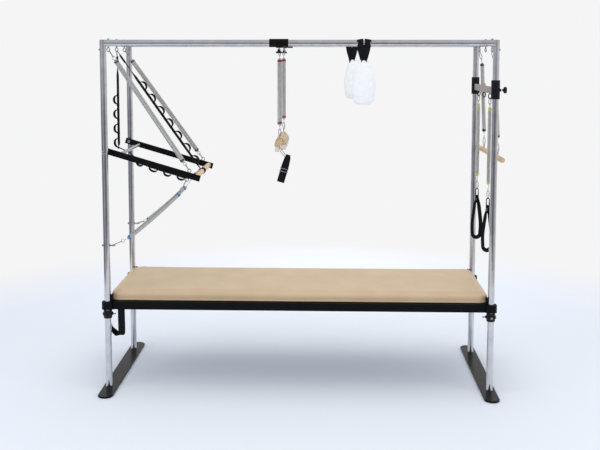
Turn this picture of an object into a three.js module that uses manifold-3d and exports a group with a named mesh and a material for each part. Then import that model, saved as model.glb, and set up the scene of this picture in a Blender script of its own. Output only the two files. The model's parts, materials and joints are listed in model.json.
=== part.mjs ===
// Pilates trapeze table: a canopy of bright steel tube over a padded bed, with a
// sprung push bar, a trapeze on a trolley, leg springs, a roll down bar and cuffs.
// Millimetres, +Z up. The origin is on the floor midway between the four posts.
// +X runs along the bed and +Y runs from the front of the photograph to the back.

import * as THREE from 'three';
import { mergeVertices } from 'three/addons/utils/BufferGeometryUtils.js';
import Module from 'manifold-3d';

const wasm = await Module();
wasm.setup();

// Clearances: between fixed pieces, in links, in sliding sleeves and in turning bores.
const gap = { seat: 0.3, chain: 0.9, slide: 0.6, turn: 0.4 };
const overrun = 5;

// Side counts of round pieces, and step counts of their bends.
const sides = { tube: 16, rod: 10, bolt: 6, eye: 10, wire: 5, link: 4, hex: 6 };
const steps = { curl: 8, bend: 6, neck: 4, wrap: 12, padCorner: 3, sewnLoop: 5, hookBend: 4 };

const tube = { radius: 19, wall: 2 };
const canopy = { halfLength: 1130, halfWidth: 340, railHeight: 2060 };
const postScrew = { drop: 38, headRadius: 5.5, headHeight: 4 };
const footPlate = { width: 90, span: 990, thickness: 12, edge: 3, inset: 5 };

const bed = { bottom: 491, height: 46, railThickness: 30, railReach: 12, wall: 2.5 };
const endFrame = {
  blockLength: 64, blockDepth: 56, chamfer: 14, beamWidth: 40, wall: 4,
  lugThickness: 10, lugWidth: 26, lugHeight: 43,
};
const deck = { thickness: 16, drop: 1, endClearance: 4 };
const mattress = {
  endInset: 2, sideInset: 10, thickness: 52, crown: 6, cornerRadius: 60,
  leastCorner: 6.5, edgeRoll: 12, drawIn: 4, rollInset: 4, hemInset: 3, panelInset: 60,
  panelRise: 3, crownInset: 180,
};
const collar = { height: 48, neckRadius: 25, bulgeRadius: 31, bulgeHeight: 16, drop: 5.4 };
const collarPin = { radius: 3, length: 22 };

const eyebolt = {
  shankRadius: 4, wire: 3, eyeRadius: 12, drop: 4, nutRadius: 9, nutHeight: 7, bore: 4.8,
};
const canopyEyeInset = 130;
const postEyeHeight = 873;

const pushBar = {
  pivotDrop: 633, armInset: 45, armHeight: 36, armThickness: 12, tail: 22, tip: 573,
  slopeDegrees: 16.4, pinRadius: 6, bossRadius: 13, headRadius: 11, headLength: 7,
  rodRadius: 10, rodAt: 75, handleRadius: 16, handleAt: 545, eyeAt: 500, eyeRadius: 10,
  eyeWire: 2.5,
};

// Springs: coil, coloured end cap and snap hook.
const coil = { wire: 2.5 };
const cap = { length: 20, neck: 4, shoulder: 9 };
const hook = { halfWidth: 7.5, wire: 2 };
const upperSpring = { coilRadius: 12, turns: 8, leadStart: 88, leadEnd: 74 };
const lowerSpring = {
  coilRadius: 11.5, turns: 5, leadStart: 100, leadEnd: 96, sag: 12,
  startShift: { x: 0, z: -38 }, endShift: { x: 0, z: -42 },
};
const trapezeSpring = { coilRadius: 11.5, turns: 5, leadStart: 76, leadEnd: 88 };
const legSpring = { coilRadius: 9, turns: 5, leadStart: 76, leadEnd: 106 };
const rollDownSpring = {
  coilRadius: 10.5, turns: 5, leadStart: 92, leadEnd: 104,
  startShift: { x: 24, z: 0 }, endShift: { x: 9, z: 0 },
};

// Webbing straps are given by their middle line in the X-Z plane.
const webbing = {
  thickness: 3, width: 24, offset: 13.5, loopBulge: 27, loopLength: 46, tabThickness: 9,
};
const daisyHook = { length: 34, wire: 1.5, halfWidth: 6 };
const tautLoops = { count: 7, firstShare: 0.24 };
const slackStrap = {
  bendDrop: 23, passUnder: 4, handleReach: 30, sagDrops: [38, 52, 54, 51, 47],
  sagShares: [0.03, 0.21, 0.435, 0.64, 0.85],
};
const slackLoops = { count: 4, firstShare: 0.415, pitchShare: 0.155, sagShares: [0.2, 0.8] };
const bedStrap = {
  width: 36, endInset: 79, sideInset: 3, loopDepth: 75, straightDrop: 131, drop: 175,
  bendShare: 0.67,
};

const trolley = {
  place: -112, sleeveLength: 110, radius: 24, barRadius: 12.5, eyeInset: 90, eyeDrop: 2,
  bossRadius: 9, bossHeight: 3,
};
const knob = {
  shankRadius: 4.5, shankLength: 9, stemRadius: 8, stemLength: 12, brimRadius: 18,
  brimLength: 11, edge: 3,
};
const trapeze = {
  barDrop: 580, barRadius: 17, barLength: 552, eyeRadius: 9, eyeWire: 2.5,
};
const sling = {
  width: 80, height: 64, thickness: 5, length: 440, waistWidth: 74, crownShares: [0.75, 0.25],
};
const footStrap = {
  bandWidth: 45, bandThickness: 8, loopWidth: 46, drop: 97, loopLength: 159, lean: 40,
  wire: 2, wireHalfWidth: 9,
};

const endSlide = {
  topDrop: 211, sleeveHeight: 109, radius: 25, barRise: 27, barHeight: 40, barThickness: 14,
  barSetIn: 3, eyeRadius: 15, eyeWire: 3, eyeInset: 150, bossRadius: 10, bossLength: 5,
};
const endKnob = { rise: 52, brimRadius: 17, brimLength: 10, stemLength: 12, shank: 11 };
const legLoop = {
  eyeRise: 591.5, length: 318, halfWidth: 26, width: 26, thickness: 4, gather: 8,
  sewn: 34,
};
const rollDown = {
  barRadius: 16, barLength: 680, barDrop: 672, rearReach: 40, frontReach: 46,
  eyeRadius: 9, eyeWire: 2.5,
};
const cuff = {
  frontPlace: 376, rearPlace: 328, bandWidth: 70, bandThickness: 4, bandDrop: 112,
  wrapShares: [1.08, -0.08], tabHalf: 9, fleeceWidth: 142, fleeceDepth: 62,
  fleeceHeight: 268, fleeceOverlap: 22,
};

const colours = {
  steel: '#c9ccd0', black: '#17181b', vinyl: '#d2bca3', zinc: '#9d9d9b', maple: '#d9b98c',
  web: '#101113', wool: '#efece6', sling: '#c9b08f', deck: '#3a2f26',
};

const table = new THREE.Group();
const turnQuarter = Math.PI / 2;
const leastMitre = 0.5;
const at = (x, y, z) => new THREE.Vector3(x, y, z);
const upward = at(0, 0, 1);
const sideways = at(0, 1, 0);
const lengthways = at(1, 0, 0);

// A closed geometry becomes a solid that can be cut and joined.
function solidOf(geometry) {
  const bare = geometry.index ? geometry.toNonIndexed() : geometry.clone();
  bare.deleteAttribute('normal');
  bare.deleteAttribute('uv');
  const merged = mergeVertices(bare);
  return new wasm.Manifold(new wasm.Mesh({
    numProp: 3,
    vertProperties: new Float32Array(merged.attributes.position.array),
    triVerts: new Uint32Array(merged.index.array),
  }));
}

// A solid goes back to a geometry that a mesh can show.
function geometryOf(solid) {
  const { vertProperties, triVerts, numProp } = solid.getMesh();
  const geometry = new THREE.BufferGeometry();
  const positions = new Float32Array(vertProperties.length / numProp * 3);
  for (let i = 0; i < positions.length / 3; i++) {
    for (let k = 0; k < 3; k++) positions[3 * i + k] = vertProperties[numProp * i + k];
  }
  geometry.setAttribute('position', new THREE.BufferAttribute(positions, 3));
  geometry.setIndex(new THREE.BufferAttribute(new Uint32Array(triVerts), 1));
  geometry.computeVertexNormals();
  return geometry;
}

const join = (pieces) => pieces.reduce((whole, piece) => whole.add(piece));
const cut = (whole, pieces) => pieces.reduce((left, piece) => left.subtract(piece), whole);

// Names a piece, gives it a material of its own and adds it to the table.
function addPiece(name, shape, colour, roughness = 0.5, metalness = 0) {
  const geometry = shape.isBufferGeometry ? shape : geometryOf(shape);
  const material = new THREE.MeshStandardMaterial({ color: colour, roughness, metalness });
  const mesh = new THREE.Mesh(geometry, material);
  mesh.name = name;
  table.add(mesh);
}

// Turns a profile of [radius, height] points about the Z axis.
function turned(profile, sideCount) {
  const points = profile.map(([radius, height]) => new THREE.Vector2(radius, height));
  return new THREE.LatheGeometry(points, sideCount).rotateX(turnQuarter);
}

function rodShape(radius, length, sideCount) {
  return turned([[0, 0], [radius, 0], [radius, length], [0, length]], sideCount);
}

// Places a shape built up from the origin along +Z so that it runs from start towards aim.
function aimed(geometry, start, direction) {
  const turn = new THREE.Quaternion().setFromUnitVectors(upward, direction.clone().normalize());
  return geometry.applyQuaternion(turn).translate(start.x, start.y, start.z);
}

function rodFrom(start, direction, radius, length, sideCount) {
  return solidOf(aimed(rodShape(radius, length, sideCount), start, direction));
}

function boxSolid(sizeX, sizeY, sizeZ, centre) {
  return solidOf(new THREE.BoxGeometry(sizeX, sizeY, sizeZ)
    .translate(centre.x, centre.y, centre.z));
}

// The corner radius of a many-sided bore whose flats clear a round piece.
const boreRadius = (radius, clearance, sideCount) =>
  (radius + clearance) / Math.cos(Math.PI / sideCount);

// A wire of constant thickness through points, closed on itself or with flat ends.
function wireShape(points, radius, closed, inward, sideCount = sides.wire) {
  const count = points.length;
  const step = (i) => points[closed ? (i + count) % count : Math.min(Math.max(i, 0), count - 1)];
  const positions = [];
  const faces = [];
  let normal = inward.clone();
  for (let i = 0; i < count; i++) {
    const tangent = step(i + 1).clone().sub(step(i - 1)).normalize();
    normal = normal.clone().addScaledVector(tangent, -normal.dot(tangent)).normalize();
    const across = new THREE.Vector3().crossVectors(tangent, normal);
    for (let k = 0; k < sideCount; k++) {
      const angle = 2 * Math.PI * k / sideCount;
      const corner = points[i].clone()
        .addScaledVector(normal, radius * Math.cos(angle))
        .addScaledVector(across, radius * Math.sin(angle));
      positions.push(corner.x, corner.y, corner.z);
    }
  }
  const runs = closed ? count : count - 1;
  for (let i = 0; i < runs; i++) {
    for (let k = 0; k < sideCount; k++) {
      const next = (k + 1) % sideCount;
      const here = i * sideCount;
      const there = (i + 1) % count * sideCount;
      faces.push(here + k, here + next, there + next, here + k, there + next, there + k);
    }
  }
  if (!closed) {
    for (let k = 1; k < sideCount - 1; k++) {
      const last = (count - 1) * sideCount;
      faces.push(0, k + 1, k, last, last + k, last + k + 1);
    }
  }
  const geometry = new THREE.BufferGeometry();
  geometry.setAttribute('position', new THREE.Float32BufferAttribute(positions, 3));
  geometry.setIndex(faces);
  return geometry;
}

// A round eye of wire in the X-Z plane, with a corner straight below its centre.
function eyeSolid(centre, radius, wire) {
  const points = [];
  for (let k = 0; k < sides.eye; k++) {
    const angle = 2 * Math.PI * k / sides.eye - turnQuarter;
    points.push(at(radius * Math.cos(angle), 0, radius * Math.sin(angle)).add(centre));
  }
  return solidOf(wireShape(points, wire, true, upward, sides.link));
}

// A long closed link of wire from tip to tip, as wide as twice its half width.
function linkSolid(start, end, halfWidth, wire, across) {
  const along = end.clone().sub(start).normalize();
  const points = [];
  for (const [tip, facing] of [[start, -1], [end, 1]]) {
    const centre = tip.clone().addScaledVector(along, -facing * halfWidth);
    for (let k = 0; k <= steps.hookBend; k++) {
      const angle = Math.PI * k / steps.hookBend - turnQuarter;
      points.push(centre.clone()
        .addScaledVector(along, facing * halfWidth * Math.cos(angle))
        .addScaledVector(across, facing * halfWidth * Math.sin(angle)));
    }
  }
  const middle = start.clone().add(end).multiplyScalar(0.5);
  const open = points.filter((point, i) => point.distanceTo(points[(i + 1) % points.length]) > wire);
  return solidOf(wireShape(open, wire, true, middle.sub(open[0]), sides.link));
}

// The centre line of a coil about an axis curve, with a straight run at each end.
function coilLine(axis, turns, coilRadius) {
  const count = turns * steps.curl;
  const points = [];
  const diameter = 2 * coil.wire;
  for (let step = 0; step <= count; step++) {
    const share = step / count;
    const tangent = axis.getTangentAt(share);
    const across = new THREE.Vector3().crossVectors(sideways, tangent).normalize();
    const outward = new THREE.Vector3().crossVectors(tangent, across);
    const angle = 2 * Math.PI * step / steps.curl;
    points.push(axis.getPointAt(share)
      .addScaledVector(across, coilRadius * Math.cos(angle))
      .addScaledVector(outward, coilRadius * Math.sin(angle)));
  }
  const first = axis.getTangentAt(0).multiplyScalar(diameter);
  const last = axis.getTangentAt(1).multiplyScalar(diameter);
  points.unshift(points[0].clone().addScaledVector(first, -2), points[0].clone().sub(first));
  const end = points[points.length - 1];
  points.push(end.clone().add(last), end.clone().addScaledVector(last, 2));
  return points;
}

// The least gap between turns, measured between points over half a curl apart.
function leastGap(points) {
  let least = Infinity;
  for (let i = 0; i < points.length; i++) {
    for (let k = i + steps.curl / 2 + 2; k < points.length; k++) {
      least = Math.min(least, points[i].distanceTo(points[k]) - 2 * coil.wire);
    }
  }
  return least;
}

// Cap and snap hook at one end of a spring, from the hook's tip to the coil.
function springEnd(tip, base, coilRadius) {
  const along = base.clone().sub(tip).normalize();
  const outer = coilRadius + coil.wire;
  const profile = [[0, 0], [outer, 0], [outer, cap.shoulder], [cap.neck, cap.length], [0, cap.length]];
  const capSolid = solidOf(aimed(turned(profile, sides.bolt), base, along.clone().negate()));
  const hookEnd = base.clone().addScaledVector(along, hook.wire - cap.length);
  return [capSolid, linkSolid(tip, hookEnd, hook.halfWidth, hook.wire, sideways)];
}

// Where a hook's tip lies when it hangs in an eye and is pulled along a direction.
function tipInEye(eye, direction, hookWire) {
  const pull = at(direction.x, 0, direction.z).normalize();
  return eye.centre.clone()
    .addScaledVector(pull, eye.radius - eye.wire - gap.chain - hookWire);
}

// How far a spring's end lies off the straight line between its eyes.
function shiftOf(shift) {
  return shift ? at(shift.x, 0, shift.z) : at(0, 0, 0);
}

// A whole spring between two eyes: hook, cap, coil, cap and hook.
function springSolid(name, size, eyeA, eyeB) {
  const pull = eyeB.centre.clone().sub(eyeA.centre);
  const start = tipInEye(eyeA, pull, hook.wire);
  const end = tipInEye(eyeB, pull.clone().negate(), hook.wire);
  const sagging = at(0, 0, -(size.sag ?? 0));
  const along = end.clone().sub(start).normalize();
  const startBase = start.clone().addScaledVector(along, size.leadStart)
    .add(shiftOf(size.startShift));
  const endBase = end.clone().addScaledVector(along, -size.leadEnd).add(shiftOf(size.endShift));
  const inner = endBase.clone().sub(startBase).setLength(coil.wire * 2);
  const coilStart = startBase.clone().add(inner);
  const coilEnd = endBase.clone().sub(inner);
  const middle = coilStart.clone().add(coilEnd).multiplyScalar(0.5).add(sagging);
  const axis = new THREE.QuadraticBezierCurve3(coilStart, middle, coilEnd);
  const points = coilLine(axis, size.turns, size.coilRadius);
  console.log(`${name}: least gap of the coil to itself ${leastGap(points).toFixed(1)} mm`);
  const inward = coilStart.clone().sub(points[0]);
  return join([
    solidOf(wireShape(points, coil.wire, false, inward)),
    ...springEnd(start, startBase, size.coilRadius),
    ...springEnd(end, endBase, size.coilRadius),
  ]);
}

// A flat band that follows points in the X-Z plane, with its width along Y.
function bandSolid(points, thickness, width, middleY, closed = false) {
  const outer = [];
  const inner = [];
  const count = points.length;
  for (let i = 0; i < count; i++) {
    const before = points[closed ? (i + count - 1) % count : Math.max(i - 1, 0)];
    const after = points[closed ? (i + 1) % count : Math.min(i + 1, count - 1)];
    const [enter, leave] = [[before, points[i]], [points[i], after]].map(([a, b]) =>
      new THREE.Vector2(b[0] - a[0], b[1] - a[1]));
    if (enter.length() === 0) enter.copy(leave);
    if (leave.length() === 0) leave.copy(enter);
    enter.normalize();
    leave.normalize();
    const mean = enter.clone().add(leave).normalize();
    const reach = thickness / 2 / Math.max(mean.dot(leave), leastMitre);
    outer.push(new THREE.Vector2(points[i][0] - mean.y * reach, points[i][1] + mean.x * reach));
    inner.push(new THREE.Vector2(points[i][0] + mean.y * reach, points[i][1] - mean.x * reach));
  }
  const shape = closed ? new THREE.Shape(inner) : new THREE.Shape([...outer, ...inner.reverse()]);
  if (closed) shape.holes.push(new THREE.Path(outer));
  const geometry = new THREE.ExtrudeGeometry(shape, { depth: width, bevelEnabled: false });
  return solidOf(geometry.rotateX(turnQuarter).translate(0, middleY + width / 2, 0));
}

// The points of an arc in the X-Z plane, from one angle to another.
function arcPoints(x, z, radius, fromAngle, toAngle, count) {
  return Array.from({ length: count + 1 }, (_, k) => {
    const angle = fromAngle + (toAngle - fromAngle) * k / count;
    return [x + radius * Math.cos(angle), z + radius * Math.sin(angle)];
  });
}

// A half round loop sewn on one side of a strap, between two points of the strap.
function strapLoop(from, to, bulge, middleY) {
  const along = [to[0] - from[0], to[1] - from[1]];
  const length = Math.hypot(...along);
  const aside = [along[1] / length, -along[0] / length];
  const points = Array.from({ length: steps.sewnLoop + 1 }, (_, k) => {
    const angle = Math.PI * k / steps.sewnLoop;
    const share = (1 - Math.cos(angle)) / 2;
    return [
      from[0] + along[0] * share + aside[0] * bulge * Math.sin(angle),
      from[1] + along[1] * share + aside[1] * bulge * Math.sin(angle),
    ];
  });
  return bandSolid(points, webbing.thickness, webbing.width, middleY);
}

const ends = [['left', -1], ['right', 1]];
const faces = [['front', -1], ['rear', 1]];
const cornerPlaces = ends.flatMap(([end, sx]) => faces.map(([face, sy]) => ({
  name: `${face}_${end}`, end, sx, sy, x: sx * canopy.halfLength, y: sy * canopy.halfWidth,
})));

const postFoot = footPlate.thickness + gap.seat;
const canopyTop = canopy.railHeight + tube.radius;
const bedTop = bed.bottom + bed.height;
const railFace = canopy.halfWidth + bed.railReach;
const bedInnerEnd = canopy.halfLength - endFrame.blockLength / 2;
const padHalfLength = canopy.halfLength - mattress.endInset;
const padHalfWidth = canopy.halfWidth - mattress.sideInset;
const canopyEyeSpread = canopy.halfWidth - canopyEyeInset;
const pivotHeight = canopy.railHeight - pushBar.pivotDrop;
const armSpread = canopy.halfWidth - pushBar.armInset;
const trapezeSpread = canopy.halfWidth - trolley.eyeInset;
const trapezeHeight = canopy.railHeight - trapeze.barDrop;
const slideTop = canopy.railHeight - endSlide.topDrop;
const slideLow = slideTop - endSlide.sleeveHeight;
const slideEyeSpread = canopy.halfWidth - endSlide.eyeInset;
const endKnobHeight = slideLow + endKnob.rise;
const rollDownHeight = canopy.railHeight - rollDown.barDrop;
const eyeDropToCentre = eyebolt.drop + eyebolt.eyeRadius + eyebolt.wire;
const canopyEyeHeight = canopy.railHeight - tube.radius - eyeDropToCentre;

function addFootPlates() {
  for (const [end, sx] of ends) {
    const half = footPlate.width / 2 - footPlate.edge;
    const straight = footPlate.span / 2 - footPlate.edge - half;
    const outline = new THREE.Shape();
    outline.absarc(0, straight, half, 0, Math.PI);
    outline.absarc(0, -straight, half, Math.PI, 2 * Math.PI);
    const plate = new THREE.ExtrudeGeometry(outline, {
      depth: footPlate.thickness - 2 * footPlate.edge, curveSegments: sides.bolt,
      bevelThickness: footPlate.edge, bevelSize: footPlate.edge, bevelSegments: 1,
    });
    plate.translate(sx * (canopy.halfLength - footPlate.inset), 0, footPlate.edge);
    addPiece(`foot_plate_${end}`, solidOf(plate), colours.black, 0.2);
  }
}

// Each post is a tube, open at its foot and closed at its top.
function addPosts() {
  for (const corner of cornerPlaces) {
    const inside = tube.radius - tube.wall;
    const shell = turned([
      [0, canopyTop - tube.wall], [inside, canopyTop - tube.wall],
      [inside, postFoot], [tube.radius, postFoot], [tube.radius, canopyTop], [0, canopyTop],
    ], sides.tube).translate(corner.x, corner.y, 0);
    const bores = [];
    if (corner.end === 'left') {
      const reach = tube.radius + overrun;
      bores.push(
        rodFrom(at(corner.x, corner.y - reach, pivotHeight), sideways,
          boreRadius(pushBar.pinRadius, gap.turn, sides.rod), 2 * reach, sides.rod),
        rodFrom(at(corner.x - reach, corner.y, postEyeHeight), lengthways,
          eyebolt.bore, 2 * reach, sides.bolt),
      );
    }
    const outward = lengthways.clone().multiplyScalar(corner.sx);
    const screw = rodFrom(
      at(corner.x + corner.sx * inside, corner.y, canopy.railHeight - postScrew.drop), outward,
      postScrew.headRadius, tube.wall + postScrew.headHeight, sides.bolt);
    addPiece(`post_${corner.name}`, cut(join([solidOf(shell), screw]), bores),
      colours.steel, 0.15, 1);
  }
}

function openTube(radius, wall, length) {
  return turned([
    [radius - wall, 0], [radius, 0], [radius, length], [radius - wall, length],
    [radius - wall, 0],
  ], sides.tube);
}

// Rails and end tubes meet the posts in coped ends.
function addCanopy() {
  const postCutters = cornerPlaces.map((corner) =>
    rodFrom(at(corner.x, corner.y, canopy.railHeight - tube.radius - overrun), upward,
      tube.radius + gap.seat, 2 * (tube.radius + overrun), sides.tube));
  for (const [face, sy] of faces) {
    const rail = openTube(tube.radius, tube.wall, 2 * canopy.halfLength);
    const start = at(-canopy.halfLength, sy * canopy.halfWidth, canopy.railHeight);
    addPiece(`top_rail_${face}`, cut(solidOf(aimed(rail, start, lengthways)), postCutters),
      colours.steel, 0.15, 1);
  }
  const railCutters = faces.map(([, sy]) => rodFrom(
    at(-canopy.halfLength - overrun, sy * canopy.halfWidth, canopy.railHeight), lengthways,
    tube.radius + gap.seat, 2 * (canopy.halfLength + overrun), sides.tube));
  for (const [end, sx] of ends) {
    const bar = openTube(tube.radius, tube.wall, 2 * canopy.halfWidth);
    const start = at(sx * canopy.halfLength, -canopy.halfWidth, canopy.railHeight);
    const bores = [-1, 0, 1].map((k) => rodFrom(
      at(sx * canopy.halfLength, k * canopyEyeSpread, canopy.railHeight - tube.radius - overrun),
      upward, eyebolt.bore, 2 * (tube.radius + overrun), sides.bolt));
    addPiece(`top_end_tube_${end}`,
      cut(solidOf(aimed(bar, start, sideways)), [...postCutters, ...railCutters, ...bores]),
      colours.steel, 0.15, 1);
  }
}

// An eyebolt through a tube, with its nut on the far side; pull is where the eye points.
function eyeboltSolid(tubeCentre, pull) {
  const seat = tube.radius + gap.seat;
  const eyeCentre = tubeCentre.clone()
    .addScaledVector(pull, tube.radius + eyeDropToCentre);
  const shankStart = tubeCentre.clone()
    .addScaledVector(pull, -seat - eyebolt.nutHeight - eyebolt.wire);
  const nutStart = tubeCentre.clone().addScaledVector(pull, -seat - eyebolt.nutHeight);
  const shankLength = 2 * seat + eyebolt.nutHeight + 2 * eyebolt.wire + eyebolt.drop;
  return join([
    rodFrom(shankStart, pull, eyebolt.shankRadius, shankLength, sides.bolt),
    rodFrom(nutStart, pull, eyebolt.nutRadius, eyebolt.nutHeight, sides.hex),
    eyeSolid(eyeCentre, eyebolt.eyeRadius, eyebolt.wire),
  ]);
}

function addEyebolts() {
  const names = { [-1]: 'front', 0: 'middle', 1: 'rear' };
  for (const [end, sx] of ends) {
    for (const k of [-1, 0, 1]) {
      const centre = at(sx * canopy.halfLength, k * canopyEyeSpread, canopy.railHeight);
      addPiece(`canopy_eyebolt_${end}_${names[k]}`,
        eyeboltSolid(centre, upward.clone().negate()), colours.zinc, 0.35, 1);
    }
  }
  for (const [face, sy] of faces) {
    const centre = at(-canopy.halfLength, sy * canopy.halfWidth, postEyeHeight);
    addPiece(`post_eyebolt_${face}`, eyeboltSolid(centre, lengthways), colours.zinc, 0.35, 1);
  }
}

// The bed: chamfered end frames with eyes round the posts, side rails, deck and mattress.
function addBed() {
  const boreSize = tube.radius + gap.seat;
  for (const [end, sx] of ends) {
    const outerX = canopy.halfLength + endFrame.blockLength / 2;
    const outerY = canopy.halfWidth + endFrame.blockDepth / 2;
    const innerY = canopy.halfWidth - endFrame.blockDepth / 2;
    const beamX = bedInnerEnd + endFrame.beamWidth;
    const { chamfer } = endFrame;
    const upper = [
      [bedInnerEnd, outerY], [outerX - chamfer, outerY], [outerX, outerY - chamfer],
      [outerX, innerY + chamfer], [outerX - chamfer, innerY], [beamX, innerY],
    ];
    const lower = upper.map(([x, y]) => [x, -y]).reverse();
    const outline = new THREE.Shape([...upper, ...lower].map(([x, y]) =>
      new THREE.Vector2(sx * x, y)));
    const body = solidOf(new THREE.ExtrudeGeometry(outline, {
      depth: bed.height, bevelEnabled: false,
    }).translate(0, 0, bed.bottom));
    const bores = faces.map(([, sy]) => rodFrom(
      at(sx * canopy.halfLength, sy * canopy.halfWidth, bed.bottom - overrun), upward,
      boreSize, bed.height + 2 * overrun, sides.tube));
    const lugs = faces.map(([, sy]) => boxSolid(
      endFrame.lugThickness, endFrame.lugWidth, endFrame.lugHeight + gap.seat,
      at(sx * (bedInnerEnd + endFrame.lugThickness / 2 + gap.seat),
        sy * (railFace - endFrame.lugWidth / 2),
        bedTop + endFrame.lugHeight / 2 - gap.seat)));
    const pocket = boxSolid(endFrame.beamWidth - 2 * endFrame.wall, 2 * innerY, bed.height,
      at(sx * (bedInnerEnd + endFrame.beamWidth / 2), 0, bed.bottom + bed.height / 2 - endFrame.wall));
    addPiece(`bed_end_frame_${end}`, cut(join([body, ...lugs]), [...bores, pocket]),
      colours.black, 0.45);
  }
  const railLength = 2 * (bedInnerEnd - gap.seat);
  for (const [face, sy] of faces) {
    const middleY = sy * (railFace - bed.railThickness / 2);
    const centre = at(0, middleY, bed.bottom + bed.height / 2);
    const inside = boxSolid(railLength + 2 * overrun, bed.railThickness - 2 * bed.wall,
      bed.height - 2 * bed.wall, centre);
    addPiece(`bed_side_rail_${face}`, boxSolid(railLength, bed.railThickness, bed.height, centre)
      .subtract(inside), colours.black, 0.45);
  }
  const deckHalf = railFace - bed.railThickness - gap.seat;
  addPiece('bed_deck', boxSolid(railLength - 2 * deck.endClearance, 2 * deckHalf, deck.thickness,
    at(0, 0, bedTop - deck.drop - deck.thickness / 2)), colours.deck, 0.7);
  addPiece('mattress', solidOf(mattressShape()), colours.vinyl, 0.35);
}

// One ring of the mattress: a rectangle with round corners at a given inset and height.
function mattressRing(inset, height) {
  const halfX = padHalfLength - inset;
  const halfY = padHalfWidth - inset;
  const radius = Math.max(mattress.cornerRadius - inset, mattress.leastCorner);
  const points = [];
  for (let quarter = 0; quarter < 4; quarter++) {
    const [sx, sy] = [[1, 1], [-1, 1], [-1, -1], [1, -1]][quarter];
    for (let k = 0; k <= steps.padCorner; k++) {
      const angle = turnQuarter * (quarter + k / steps.padCorner);
      points.push(at(sx * (halfX - radius) + radius * Math.cos(angle),
        sy * (halfY - radius) + radius * Math.sin(angle), height));
    }
  }
  return points;
}

// A firm pad: sides drawn in at half height, a rolled top edge and a slight crown.
function mattressShape() {
  const low = bedTop + gap.seat;
  const sideTop = low + mattress.thickness - mattress.edgeRoll;
  const top = low + mattress.thickness;
  const rings = [
    mattressRing(mattress.hemInset, low),
    mattressRing(0, low + mattress.hemInset),
    mattressRing(mattress.drawIn, (low + sideTop) / 2),
    mattressRing(0, sideTop),
    mattressRing(mattress.rollInset, top - mattress.rollInset),
    mattressRing(mattress.edgeRoll, top),
    mattressRing(mattress.panelInset, top + mattress.panelRise),
    mattressRing(mattress.crownInset, top + mattress.crown),
  ];
  const count = rings[0].length;
  const positions = rings.flat().flatMap((point) => point.toArray());
  const index = [];
  for (let row = 0; row < rings.length - 1; row++) {
    for (let k = 0; k < count; k++) {
      const a = row * count + k;
      const b = row * count + (k + 1) % count;
      index.push(a, b, b + count, a, b + count, a + count);
    }
  }
  const last = (rings.length - 1) * count;
  for (let k = 1; k < count - 1; k++) index.push(0, k + 1, k, last, last + k, last + k + 1);
  const geometry = new THREE.BufferGeometry();
  geometry.setAttribute('position', new THREE.Float32BufferAttribute(positions, 3));
  geometry.setIndex(index);
  return geometry;
}

// Height collars clamp the posts under the bed and carry a thumb screw.
function addCollars() {
  const top = bed.bottom - collar.drop;
  const low = top - collar.height;
  const middle = low + collar.height / 2;
  const bore = tube.radius + gap.seat;
  for (const corner of cornerPlaces) {
    const body = turned([
      [bore, low], [collar.neckRadius, low], [collar.neckRadius, middle - collar.bulgeHeight],
      [collar.bulgeRadius, middle], [collar.neckRadius, middle + collar.bulgeHeight],
      [collar.neckRadius, top], [bore, top], [bore, low],
    ], sides.tube).translate(corner.x, corner.y, 0);
    const inward = lengthways.clone().multiplyScalar(-corner.sx);
    const pinStart = at(corner.x, corner.y, middle).addScaledVector(inward, collar.neckRadius);
    addPiece(`support_collar_${corner.name}`, join([
      solidOf(body),
      rodFrom(pinStart, inward, collarPin.radius, collarPin.length, sides.bolt),
    ]), colours.black, 0.4);
  }
}

// The safety strap looped under the front left of the bed; it hangs in the Y-Z plane.
function addBedStrap() {
  const seat = bed.bottom - gap.seat;
  const near = canopy.halfWidth - bedStrap.sideInset;
  const far = near - bedStrap.loopDepth;
  const middle = (near + far) / 2;
  const straight = bed.bottom - bedStrap.straightDrop;
  const lowest = bed.bottom - bedStrap.drop;
  const bend = straight + (lowest - straight) * bedStrap.bendShare;
  const line = [
    [near, seat], [near, straight], [(near + middle) / 2, bend], [middle, lowest],
    [(far + middle) / 2, bend], [far, straight], [far, seat],
  ];
  const band = bandSolid(line, webbing.thickness, bedStrap.width, 0);
  const geometry = geometryOf(band).rotateZ(-turnQuarter)
    .translate(bedStrap.endInset - canopy.halfLength, 0, 0);
  addPiece('bed_safety_strap', solidOf(geometry), colours.web, 0.9);
}

const slope = pushBar.slopeDegrees * Math.PI / 180;
const armAlong = at(Math.cos(slope), 0, -Math.sin(slope));
const armAbove = at(Math.sin(slope), 0, Math.cos(slope));
const armEyeOffset = pushBar.armHeight / 2 + pushBar.eyeRadius;

function armPoint(distance, offset, y) {
  return at(-canopy.halfLength, y, pivotHeight)
    .addScaledVector(armAlong, distance).addScaledVector(armAbove, offset);
}

function armEye(sy, side) {
  return {
    centre: armPoint(pushBar.eyeAt, side * armEyeOffset, sy * armSpread),
    radius: pushBar.eyeRadius, wire: pushBar.eyeWire,
  };
}

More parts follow.
